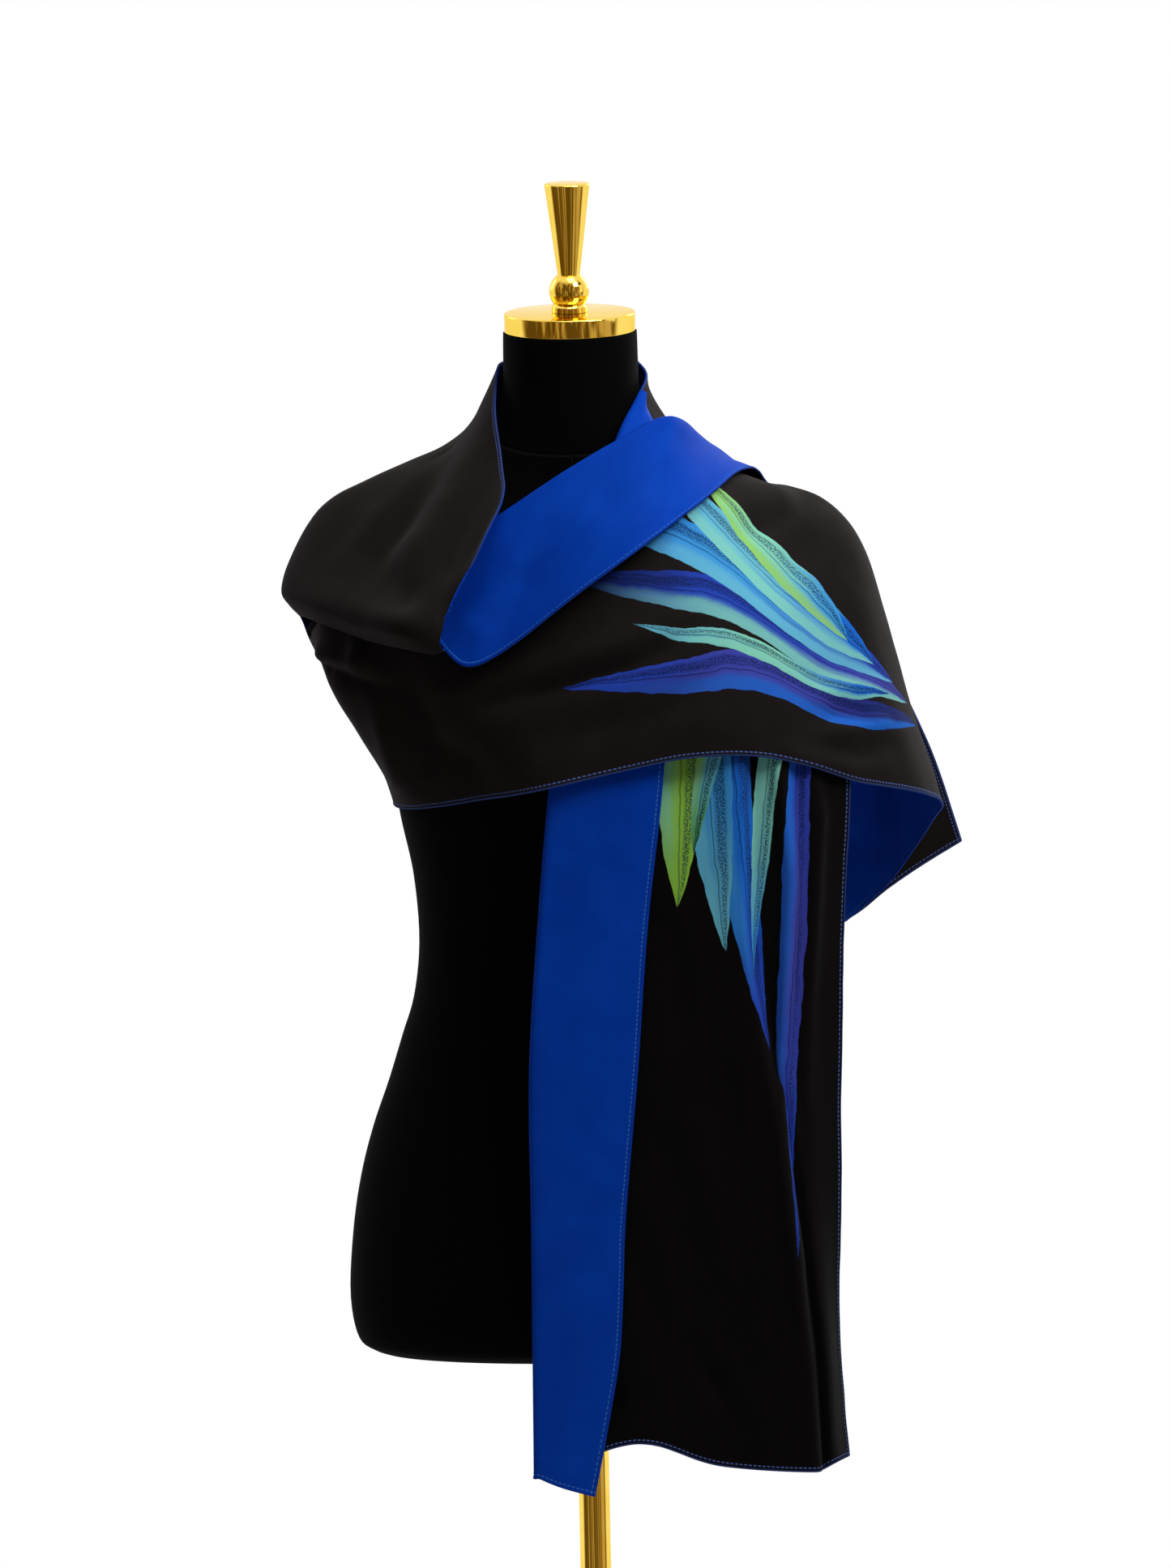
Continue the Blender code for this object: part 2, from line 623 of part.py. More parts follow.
def add_dress_form(collection):
    """Builds the form and its stand, and gives back the body for the cloth to rest on."""
    cover = material("form_cover", (0.008, 0.008, 0.008), 0.9)
    brass = material("polished_brass", (0.83, 0.62, 0.16), 0.16, 1.0)
    body = add_torso(cover, collection)
    add_neck_cap(brass, collection)
    add_finial(brass, collection)
    add_pole(brass, collection)
    add_base(brass, collection)
    return body


def add_shawl(body, collection):
    cloth = material("shawl_cloth", (0.018, 0.014, 0.013), 0.8)
    body_gap = WALL / 2 + BODY_CLEARANCE
    layer_gap = WALL + LAYER_CLEARANCE
    on_body = [(body, body_gap, 0)]

    # Section lines
    hanging = sections(FIRST_PASS_COLUMNS, hanging_rows(), STRIP_STEPS, HANGING_MAIN_STEPS)
    first = sections(FIRST_PASS_COLUMNS, FIRST_PASS_ROWS, STRIP_STEPS, HANGING_MAIN_STEPS)
    nape = plain_sections(NAPE_COLUMNS, NAPE_ROWS, NAPE_UPPER_STEPS + NAPE_LOWER_STEPS)
    cowl = plain_sections(COWL_COLUMNS, COWL_ROWS, NAPE_UPPER_STEPS)
    chest = sections(CHEST_COLUMNS, CHEST_ROWS, FLAP_STEPS, CHEST_MAIN_STEPS)
    thrown = sections(CHEST_COLUMNS, THROWN_ROWS, FLAP_STEPS, CHEST_MAIN_STEPS)
    upper = sum(NAPE_UPPER_STEPS)
    lower = sum(NAPE_LOWER_STEPS)
    first_crest = STRIP_STEPS + FOLD_STEPS // 2
    chest_crest = FLAP_STEPS + FOLD_STEPS // 2

    # The hanging end and the first pass, from the top of the shoulder down
    first_grid = smooth(first[::-1] + hanging, FIRST_ROW_STEPS)
    first_grid = lift_turned(first_grid, first_crest, on_body)

    # Round the nape, in one surface with its neighbours
    joined = first_grid[0, first_crest:]
    beyond_start = first_grid[2, first_crest:]
    beyond_end = np.concatenate([cowl[0], resampled(chest[0][chest_crest:], lower + 1)[1:]])
    nape_grid = smooth([joined] + nape, NAPE_ROW_STEPS, beyond_start, beyond_end)
    nape_grid[1:] = lift(nape_grid, on_body)[1:]

    # The crossing and the thrown end, on all of these
    start = resampled(nape_grid[-1, upper:], 4 * lower + 1)[PLEAT_START:]
    before = resampled(nape_grid[-4, upper:], 4 * lower + 1)[PLEAT_START:]
    chest_rows = [pleat_section(start), *chest, *thrown]
    chest_grid = smooth(chest_rows, CHEST_ROW_STEPS, pleat_section(before))
    shoulder = sum(CHEST_ROW_STEPS[:len(chest)])
    over_first = on_body + [(grid_tree(first_grid), layer_gap, 0)]
    over_nape = over_first + [(grid_tree(nape_grid), layer_gap, shoulder - 2 * CHEST_ROW_STEPS[-1])]
    chest_grid[1:] = lift_turned(chest_grid[1:], chest_crest, over_nape)

    # The roll, on the crossing
    cowl_grid = smooth([nape_grid[-1, :upper + 1]] + cowl, COWL_ROW_STEPS, nape_grid[-4, :upper + 1])
    over_chest = on_body + [(grid_tree(chest_grid[:shoulder // 2]), layer_gap, 0)]
    cowl_grid[1:] = lift(cowl_grid, over_chest)[1:]

    # The walls, each with the rows just past its seams
    seam = sum(FIRST_ROW_STEPS[:len(first)])
    next_to_nape = first_grid[1, first_crest:]
    past_nape = np.concatenate(
        [cowl_grid[1], resampled(chest_grid[1, chest_crest:], lower + 1)[1:]])
    strip_start = 2 * first_grid[0] - first_grid[1]
    strip_start[first_crest:] = nape_grid[1]
    chest_start = pleat_section(resampled(nape_grid[-2, upper:], 4 * lower + 1)[PLEAT_START:])
    walls = (
        ("front_end", first_grid[seam:], first_grid[seam - 1], None),
        ("left_shoulder", first_grid[:seam + 1], strip_start, first_grid[seam + 1]),
        ("back_stretch", nape_grid, next_to_nape, past_nape),
        ("cowl", cowl_grid, nape_grid[-2, :upper + 1], None),
        ("chest_stretch", chest_grid[:shoulder + 1], chest_start, chest_grid[shoulder + 1]),
        ("thrown_end", chest_grid[shoulder:], chest_grid[shoulder - 1], None),
    )
    for name, grid, before, after in walls:
        add_cloth(name, grid, cloth, collection, before, after)


def main():
    clear_scene()
    collection = new_collection("shawl_on_dress_form")
    body = add_dress_form(collection)
    add_shawl(body, collection)


main()
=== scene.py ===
"""The looks of a long two-faced shawl on a limbless dress form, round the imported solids.

The surfaces come from tables in millimetres and are drawn at finer steps than the solids. The
form's tables are those of the solids. In the cloth's, some points lie up to 25 mm from the
solids', and two that the roll hides 44 mm. X runs to the viewer's right, Z is up and the form
faces -Y.
"""

import math

import bpy
import numpy as np
from mathutils import Matrix, Vector, noise
from mathutils.bvhtree import BVHTree


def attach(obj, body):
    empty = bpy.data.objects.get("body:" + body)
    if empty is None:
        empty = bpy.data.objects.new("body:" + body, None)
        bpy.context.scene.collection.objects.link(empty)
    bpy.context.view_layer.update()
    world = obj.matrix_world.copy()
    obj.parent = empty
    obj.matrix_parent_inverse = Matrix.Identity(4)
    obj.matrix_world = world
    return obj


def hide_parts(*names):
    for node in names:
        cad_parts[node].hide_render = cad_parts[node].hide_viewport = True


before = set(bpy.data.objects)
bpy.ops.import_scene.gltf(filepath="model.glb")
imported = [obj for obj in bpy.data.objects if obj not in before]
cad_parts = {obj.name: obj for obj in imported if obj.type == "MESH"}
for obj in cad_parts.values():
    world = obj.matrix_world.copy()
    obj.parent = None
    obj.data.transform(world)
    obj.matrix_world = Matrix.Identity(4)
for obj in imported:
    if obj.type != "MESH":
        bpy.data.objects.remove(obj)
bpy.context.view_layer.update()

MM = 0.001

# Driving sizes of the cloth, in millimetres
WALL = 1.6
FOLD_RADIUS = 3.0
BODY_CLEARANCE = 3.0
LAYER_CLEARANCE = 2.6
FLAP_BULGE = 3.0

# Driving sizes of the stand, in millimetres
BASE_RADIUS = 150.0
BASE_HEIGHT = 14.0
BASE_EDGE = 3.0
SOCKET_RADIUS = 19.0
SOCKET_HEIGHT = 46.0
SOCKET_FLOOR = 18.0
SOCKET_CHAMFER = 1.5
SOCKET_FLARE = 6.0
POLE_RADIUS = 11.7
SEAT_GAP = 0.3
TORSO_BOTTOM = 729.0
NECK_TILT = math.radians(8.8)
NECK_PIVOT = (0.0, -6.0, 1440.0)
NECK_TOP = 1500.0
NECK_LEAN = 10.0
NECK_BLEND = 20.0
CAP_RADIUS = 49.5
CAP_HEIGHT = 14.5
CAP_EDGE = 1.2
FINIAL_FOOT_RADIUS = 13.4
FINIAL_FOOT_HEIGHT = 4.0
FINIAL_FOOT_NECK = 11.6
FINIAL_BALL_RADIUS = 15.0
FINIAL_BALL_CENTRE = 15.5
FINIAL_WAIST_RADIUS = 8.4
FINIAL_TOP_RADIUS = 17.0
FINIAL_HEIGHT = 97.0
FINIAL_EDGE = 1.4
ROUND_STEPS = 44

# The covered body: a row for each level, its half width, its depth in front of and behind the
# pole's line, and how far it leans forward
TORSO_COLUMNS = ("level", "half_width", "front", "back", "lean")
TORSO_LEVELS = (
    (729.0, 158.0, 92.0, 100.0, 0.0),
    (732.0, 166.0, 102.0, 108.0, 0.0),
    (740.0, 176.0, 112.0, 118.0, 0.0),
    (771.0, 182.0, 119.0, 126.0, 0.0),
    (821.0, 179.0, 117.0, 127.0, 0.0),
    (864.0, 172.0, 112.0, 122.0, 0.0),
    (901.0, 162.0, 106.0, 114.0, 0.0),
    (937.0, 149.0, 99.0, 104.0, 0.0),
    (971.0, 138.0, 93.0, 95.0, 0.0),
    (999.0, 129.0, 90.0, 88.0, 0.0),
    (1039.0, 124.0, 89.0, 84.0, 0.0),
    (1091.0, 127.0, 96.0, 88.0, 0.0),
    (1143.0, 137.0, 106.0, 95.0, 0.0),
    (1210.0, 144.0, 113.0, 101.0, 0.0),
    (1270.0, 149.0, 108.0, 104.0, 0.0),
    (1315.0, 161.0, 93.0, 102.0, 0.0),
    (1338.0, 166.0, 81.0, 94.0, 0.0),
    (1354.0, 162.0, 69.0, 82.0, 0.0),
    (1368.0, 142.0, 61.0, 70.0, 0.0),
    (1384.0, 110.0, 57.0, 62.0, 0.0),
    (1402.0, 80.0, 55.0, 56.0, 1.0),
    (1424.0, 60.0, 53.5, 53.0, 3.0),
    (1450.0, 52.5, 52.0, 51.0, 5.0),
    (NECK_TOP, 50.4, 50.4, 50.4, NECK_LEAN),
)
TORSO_STEPS = (1, 1, 1, 1, 1, 1, 1, 1, 1, 1, 1, 2, 2, 2, 2, 1, 1, 1, 1, 1, 1, 1, 2)
BUST_LEVEL = 1218.0
BUST_SIDE = 74.0
BUST_RISE = 17.0
BUST_SPREAD = 49.0

# The hanging end: a row for each level, then how far each line of the cloth lies from the
# middle of the form. The last row is the short hem, whose levels are given apart.
HANGING_COLUMNS = (
    "level", "strip_hem", "fold", "mid", "front", "ridge", "valley", "second", "edge",
)
HANGING_ROWS = (
    (1178.0, 62.0, -20.0, 50.0, 92.0, 121.0, 127.0, 147.0, 200.0),
    (1056.0, 47.0, -33.0, 45.0, 90.0, 120.0, 128.0, 155.0, 194.0),
    (953.0, 38.0, -41.0, 42.0, 92.0, 134.0, 141.0, 153.0, 190.0),
    (835.0, 26.0, -42.0, 42.0, 98.0, 149.0, 155.0, 164.0, 187.0),
    (740.0, 20.0, -43.0, 40.0, 100.0, 161.0, 166.0, 173.0, 184.5),
    (655.0, 0.0, -44.0, 34.0, 92.0, 166.0, 170.0, 177.0, 190.0),
)
HANGING_HEM_LEVELS = (638.0, 651.0, 675.0, 658.0, 652.0, 652.0, 656.0, 658.0)
HANGING_DEPTHS = (-143.0, -137.0, -135.0, -136.0, -139.0, -128.0, -130.0, -104.0)

# The first pass over the shoulder on +X: a row of points (x, y, z) from its turned-back hem
FIRST_PASS_COLUMNS = HANGING_COLUMNS[1:]
FIRST_PASS_ROWS = (
    ((68, -134, 1285), (-4, -126, 1280), (52, -126, 1278), (90, -126, 1275),
     (118, -122, 1268), (124, -115, 1265), (144, -108, 1260), (190, -78, 1245)),
    ((72, -104, 1362), (14, -98, 1362), (58, -96, 1356), (88, -90, 1348),
     (113, -84, 1338), (119, -78, 1334), (139, -72, 1322), (184, -46, 1300)),
    ((65, -60, 1417), (33, -68, 1418), (64, -54, 1406), (88, -48, 1396),
     (111, -42, 1384), (117, -38, 1379), (138, -32, 1366), (178, -8, 1328)),
    ((51, -34, 1440), (49, -28, 1453), (65, -13, 1431), (87, -4, 1411),
     (110, 0, 1394), (116, 3, 1389), (138, 12, 1370), (176, 36, 1334)),
)

# Round the nape and over the shoulder on -X, from the collar's top edge to the long hem
NAPE_COLUMNS = ("top", "collar", "shoulder", "brow", "tip", "tuck", "drop", "flank", "hem")
NAPE_ROWS = (
    ((43, 28, 1480), (61, 28, 1446), (88, 42, 1406), (108, 52, 1382),
     (132, 62, 1346), (152, 74, 1298), (158, 79, 1276), (165, 86, 1245), (172, 92, 1212)),
    ((26, 46, 1487), (38, 64, 1452), (52, 84, 1410), (64, 96, 1372),
     (76, 106, 1325), (86, 112, 1268), (89, 113, 1242), (93, 114, 1206), (98, 115, 1170)),
    ((0, 52, 1489), (0, 74, 1452), (0, 94, 1405), (0, 104, 1362),
     (0, 111, 1308), (0, 115, 1250), (0, 116, 1224), (0, 116, 1187), (0, 116, 1150)),
    ((-26, 46, 1487), (-42, 66, 1450), (-62, 86, 1409), (-82, 99, 1364),
     (-98, 107, 1305), (-104, 111, 1252), (-104, 111, 1222), (-102, 111, 1182), (-98, 109, 1142)),
    ((-47, 22, 1479), (-73, 37, 1434), (-116, 50, 1400), (-162, 58, 1364),
     (-188, 60, 1308), (-187, 62, 1280), (-180, 64, 1252), (-156, 66, 1200), (-132, 64, 1142)),
    ((-52, -6, 1470), (-91, 4, 1414), (-146, 8, 1394), (-193, 8, 1368),
     (-221, 0, 1308), (-208, -2, 1290), (-197, -3, 1262), (-164, -3, 1210), (-139, 0, 1146)),
)

# The soft roll of cloth that hangs from the shoulder on -X, from its free edge to its bottom
COWL_COLUMNS = ("edge", "collar", "upper", "lower", "front", "roll")
COWL_ROWS = (
    ((-58, -34, 1441), (-84, -34, 1408), (-130, -42, 1365), (-176, -52, 1328),
     (-203, -48, 1302), (-196, -46, 1288)),
    ((-53, -68, 1400), (-74, -80, 1374), (-105, -95, 1340), (-140, -108, 1306),
     (-160, -104, 1284), (-153, -92, 1272)),
    ((-53, -104, 1374), (-68, -112, 1350), (-92, -123, 1323), (-116, -136, 1296),
     (-130, -137, 1278), (-122, -125, 1266)),
    ((-68, -127, 1344), (-78, -130, 1328), (-91, -135, 1309), (-105, -144, 1288),
     (-112, -144, 1274), (-106, -133, 1264)),
    ((-92, -139, 1298), (-95, -141, 1291), (-98, -142, 1284), (-100, -143, 1277),
     (-101, -141, 1271), (-99, -134, 1266)),
)

# The crossing: the turned-down margin's free edge, the fold, then down to the long hem
CHEST_COLUMNS = ("flap_edge", "fold", "crown", "upper", "lower", "hem")
CHEST_ROWS = (
    ((-156, -60, 1306), (-156, -48, 1322), (-184, -48, 1290), (-187, -46, 1255),
     (-161, -56, 1204), (-118, -66, 1146)),
    ((-118, -98, 1292), (-112, -74, 1330), (-118, -86, 1302), (-117, -98, 1268),
     (-94, -112, 1208), (-75, -106, 1153)),
    ((-84, -128, 1254), (-58, -90, 1361), (-52, -104, 1326), (-45, -120, 1289),
     (-34, -138, 1223), (-27, -147, 1162)),
    ((-51, -138, 1266), (-10, -92, 1392), (-2, -106, 1355), (6, -126, 1318),
     (23, -149, 1247), (33, -152, 1175)),
    ((-6, -144, 1300), (34, -78, 1417), (44, -96, 1378), (55, -118, 1336),
     (74, -148, 1264), (87, -150, 1184)),
    ((43, -134, 1335), (65, -46, 1431), (78, -68, 1396), (91, -98, 1353),
     (119, -134, 1268), (141, -138, 1182)),
    ((91, -88, 1368), (95, -16, 1410), (118, -36, 1384), (138, -66, 1343),
     (172, -102, 1254), (202, -106, 1163)),
    ((130, -4, 1387), (117, 14, 1390), (168, -4, 1373), (203, -24, 1340),
     (228, -52, 1239), (257, -60, 1149)),
)

# The thrown end behind the shoulder on +X, in the same columns. The last row is its short hem.
THROWN_ROWS = (
    ((152, 44, 1372), (124, 40, 1378), (181, 22, 1373), (213, 10, 1342),
     (249, 0, 1222), (275, -5, 1138)),
    ((206, 66, 1328), (132, 62, 1350), (182, 52, 1344), (213, 44, 1304),
     (244, 44, 1210), (269, 46, 1122)),
    ((238, 96, 1246), (124, 104, 1264), (162, 96, 1250), (192, 88, 1220),
     (221, 88, 1160), (243, 100, 1078)),
    ((272, 108, 1172), (116, 126, 1140), (140, 124, 1130), (165, 122, 1115),
     (190, 120, 1085), (222, 118, 1056)),
    ((294, 110, 1102), (106, 138, 1000), (130, 138, 1008), (155, 138, 1018),
     (180, 136, 1028), (205, 132, 1040)),
)

# The line that the cloth is pushed away from: up the body, along the shoulders, up the neck
CORE = (
    ((0.0, 0.0, 600.0), (0.0, 0.0, 1330.0)),
    ((-110.0, 5.0, 1325.0), (110.0, 5.0, 1325.0)),
    ((0.0, -2.0, 1330.0), (0.0, -14.0, 1520.0)),
)
CORE_PULL = 2.0
RAY_REACH = 170.0
SPREAD_PASSES = 6


# Steps of the grids: across a section, and from each section to the next
STRIP_STEPS = 4
FOLD_STEPS = 4
FLAP_STEPS = 5
HANGING_MAIN_STEPS = (5, 4, 4, 1, 2, 4)
CHEST_MAIN_STEPS = (3, 3, 5, 4)
NAPE_UPPER_STEPS = (3, 3, 3, 4, 2)
NAPE_LOWER_STEPS = (2, 2, 3)
FIRST_ROW_STEPS = (3, 3, 3, 3, 3, 3, 3, 2, 2)
NAPE_ROW_STEPS = (3, 3, 3, 3, 4, 4)
CHEST_ROW_STEPS = (3, 3, 3, 3, 3, 3, 3, 3, 3, 3, 3, 3, 3)
COWL_ROW_STEPS = (4, 4, 3, 3, 3)
PLEAT_START = 2
PLEAT_DEPTH = 7.0


def named(columns, rows):
    """The rows of a table, each with its entries by the names of their columns."""
    return [dict(zip(columns, row)) for row in rows]


def unit(vector):
    return vector / max(np.linalg.norm(vector), 1e-9)


def outward(point):
    """The direction away from the lines inside the form, mostly from the nearest of them."""
    total = np.zeros(3)
    for start, end in CORE:
        start, end = np.array(start), np.array(end)
        along = end - start
        share = np.clip(np.dot(point - start, along) / np.dot(along, along), 0.0, 1.0)
        away = point - (start + share * along)
        total = total + away / np.dot(away, away) ** CORE_PULL
    return unit(total)


def sheet_faces(grid):
    """The triangles of a grid of points, each quad cut along its shorter diagonal."""
    rows, columns = grid.shape[:2]
    faces = []
    for i in range(rows - 1):
        for j in range(columns - 1):
            a, b = i * columns + j, i * columns + j + 1
            c, d = b + columns, a + columns
            falling = np.linalg.norm(grid[i, j] - grid[i + 1, j + 1])
            rising = np.linalg.norm(grid[i, j + 1] - grid[i + 1, j])
            if falling < rising:
                faces += [(a, b, c), (a, c, d)]
            else:
                faces += [(a, b, d), (b, c, d)]
    return faces


def tree_of(points, faces):
    return BVHTree.FromPolygons([Vector(p) for p in points], faces)


def grid_tree(grid):
    return tree_of(grid.reshape(-1, 3), sheet_faces(grid))


def spread(amounts):
    """Softens a field of lifts without lowering any of them."""
    for _ in range(SPREAD_PASSES):
        padded = np.pad(amounts, 1, mode="edge")
        blurred = (
            padded[:-2, 1:-1] + padded[2:, 1:-1] + padded[1:-1, :-2] + padded[1:-1, 2:]
            + 4 * padded[1:-1, 1:-1]
        ) / 8
        amounts = np.maximum(amounts, blurred)
    return amounts


def halved(grid):
    """The grid with the middles of its edges and faces between its points."""
    rows, columns = grid.shape[:2]
    fine = np.empty((2 * rows - 1, 2 * columns - 1, 3))
    fine[::2, ::2] = grid
    fine[1::2, ::2] = (grid[:-1] + grid[1:]) / 2
    fine[:, 1::2] = (fine[:, :-1:2] + fine[:, 2::2]) / 2
    return fine


def shortfalls(grid, layers, scale=1):
    """How far each point has to move outward to clear the layers under it, and its direction.

    A layer holds from its own first row on, counted in steps of `scale` rows.
    """
    needs = np.zeros(grid.shape[:2])
    directions = np.zeros_like(grid)
    for i in range(grid.shape[0]):
        for j in range(grid.shape[1]):
            away = outward(grid[i, j])
            directions[i, j] = away
            origin = Vector(grid[i, j] + away * RAY_REACH)
            for tree, gap, start in layers:
                if i < scale * start:
                    continue
                found = tree.ray_cast(origin, Vector(-away), RAY_REACH + gap)
                if found[0] is not None:
                    needs[i, j] = max(needs[i, j], RAY_REACH + gap - found[3])
    return needs, directions


def lift_amounts(grid, layers):
    """How far each point of a coarse grid has to move. The faces round a point count too."""
    fine = halved(grid)
    needs = shortfalls(fine, layers, 2)[0]
    padded = np.pad(needs, 1, mode="edge")
    amounts = np.zeros(grid.shape[:2])
    for i in range(3):
        for j in range(3):
            amounts = np.maximum(amounts, padded[i:i + fine.shape[0]:2, j:j + fine.shape[1]:2])
    return spread(amounts)


def moved_out(grid, amounts):
    directions = np.array([[outward(point) for point in row] for row in grid])
    return grid + directions * amounts[:, :, None]


def lift(grid, layers):
    return moved_out(grid, lift_amounts(grid, layers))


def lift_turned(grid, crest, layers):
    """Lifts cloth with a turned margin: the main run clears the layers, the margin clears it."""
    grid = grid.copy()
    amounts = lift_amounts(grid[:, crest:], layers)
    grid[:, crest:] = moved_out(grid[:, crest:], amounts)
    carried = np.repeat(amounts[:, :1], crest, axis=1)
    margin = moved_out(grid[:, :crest], carried)
    under = grid_tree(grid[:, crest + FOLD_STEPS // 2:])
    grid[:, :crest] = lift(margin, layers + [(under, WALL + LAYER_CLEARANCE, 0)])
    return grid


def fold_over(outer, crest, inner):
    """Points round a fold: from the side of `outer`, over the crest, to the side of `inner`."""
    up = unit(crest - (outer + inner) / 2)
    across = outward(crest)
    across = unit(across - up * np.dot(across, up))
    centre = crest - up * FOLD_RADIUS
    return [
        centre + FOLD_RADIUS * (across * math.cos(angle) + up * math.sin(angle))
        for angle in (math.pi * step / FOLD_STEPS for step in range(FOLD_STEPS + 1))
    ]


def torso_rings(steps, around):
    """Rings of points up the body, from its bottom to the top of its neck."""
    levels = named(TORSO_COLUMNS, TORSO_LEVELS)
    rows = [
        ((row["level"], row["half_width"], 0.0), (row["front"], row["back"], row["lean"]))
        for row in levels
    ]
    rings = []
    for (level, width, _), (front, back, lean) in smooth(rows, steps):
        ring = []
        for step in range(around):
            angle = math.tau * step / around
            x = width * math.cos(angle)
            ahead = max(0.0, -math.sin(angle))
            y = (back if ahead == 0.0 else front) * math.sin(angle)
            for side in (-BUST_SIDE, BUST_SIDE):
                away = math.hypot(x - side, level - BUST_LEVEL) / BUST_SPREAD
                y -= BUST_RISE * math.exp(-away * away) * min(1.0, 2 * ahead)
            ring.append(tilted(np.array((x, y - lean, level))))
        rings.append(ring)
    return rings


def tilted(point):
    """Leans the neck forward: points above the pivot turn about it, the more the higher."""
    start = NECK_PIVOT[2] - NECK_BLEND
    share = np.clip((point[2] - start) / (NECK_TOP - start), 0.0, 1.0)
    rise = (point[1] - NECK_PIVOT[1]) * math.tan(NECK_TILT * share)
    return point + np.array((0.0, 0.0, rise))


def arc(centre, radius, start, end, steps):
    """Points on an arc of a profile, angles in degrees from +X."""
    return [
        (centre[0] + radius * math.cos(math.radians(start + (end - start) * i / steps)),
         centre[1] + radius * math.sin(math.radians(start + (end - start) * i / steps)))
        for i in range(steps + 1)
    ]


def turned_section(edge, crest, rest, flap_steps, main_steps):
    """One section of cloth with a turned margin: free edge, fold, then the main run."""
    middle = (edge + crest) / 2
    middle = middle + outward(middle) * FLAP_BULGE
    turned = fold_over(middle, crest, rest[0])
    flap = smooth([edge, middle, turned[0]], (flap_steps - flap_steps // 2, flap_steps // 2))
    main = smooth([turned[-1], *rest], main_steps)
    return np.concatenate([flap, turned[1:-1], main])


def hanging_rows():
    """The hanging end's sections as points, from the crossing down to the short hem."""
    rows = []
    for row in named(HANGING_COLUMNS, HANGING_ROWS):
        level = row.pop("level")
        rows.append([(x, depth, level) for x, depth in zip(row.values(), HANGING_DEPTHS)])
    rows[-1] = [(x, depth, level) for (x, depth, _), level in zip(rows[-1], HANGING_HEM_LEVELS)]
    return rows


def resampled(line, count):
    """The same line with `count` points at even steps along it."""
    steps = np.linalg.norm(np.diff(line, axis=0), axis=1)
    along = np.concatenate([[0.0], np.cumsum(steps)])
    wanted = np.linspace(0.0, along[-1], count)
    return np.stack([np.interp(wanted, along, line[:, axis]) for axis in range(3)], axis=1)


def pleat_section(run):
    """The section where the pleat under the roll begins: a narrow margin turned over."""
    crest = run[0]
    down = unit(run[2] - run[0])
    edge = crest + down * PLEAT_DEPTH + outward(crest) * 2 * FOLD_RADIUS
    rest = resampled(run[2:], len(CHEST_MAIN_STEPS))
    return turned_section(edge, crest, rest, FLAP_STEPS, CHEST_MAIN_STEPS)


def sections(columns, rows, flap_steps, main_steps):
    """The sections of a table whose first column is the turned margin's free edge."""
    made = []
    for row in named(columns, rows):
        points = {name: np.array(point, float) for name, point in row.items()}
        edge = points.pop(columns[0])
        crest = points.pop("fold")
        made.append(turned_section(edge, crest, list(points.values()), flap_steps, main_steps))
    return made


def plain_sections(columns, rows, steps):
    """The sections of a table with no turned margin."""
    return [smooth(list(row.values()), steps) for row in named(columns, rows)]


def refined(rows, places, before=None, after=None):
    """A smooth curve through the rows, at the given shares of each interval between two."""
    first = 0 if before is None else 1
    rows = ([] if before is None else [before]) + list(rows) + ([] if after is None else [after])
    rows = np.asarray(rows, float)
    flat = rows.reshape(len(rows), -1, 3)
    gaps = np.linalg.norm(np.diff(flat, axis=0), axis=2).mean(axis=1)
    gaps = np.sqrt(np.maximum(gaps, 1e-6))
    slopes = np.diff(flat, axis=0) / gaps[:, None, None]
    tangents = np.empty_like(flat)
    tangents[0] = slopes[0]
    tangents[-1] = slopes[-1]
    for i in range(1, len(flat) - 1):
        behind, ahead = gaps[i - 1], gaps[i]
        tangents[i] = (slopes[i - 1] * ahead + slopes[i] * behind) / (behind + ahead)
    result = [flat[first]]
    for i, shares in enumerate(places, first):
        for t in shares:
            point = (2 * t**3 - 3 * t**2 + 1) * flat[i]
            point = point + (t**3 - 2 * t**2 + t) * gaps[i] * tangents[i]
            point = point + (-2 * t**3 + 3 * t**2) * flat[i + 1]
            point = point + (t**3 - t**2) * gaps[i] * tangents[i + 1]
            result.append(point)
    return np.asarray(result).reshape((len(result),) + rows.shape[1:])


def smooth(rows, counts, before=None, after=None):
    """The same curve, with a number of even steps between each two rows."""
    return refined(rows, [np.arange(1, count + 1) / count for count in counts], before, after)


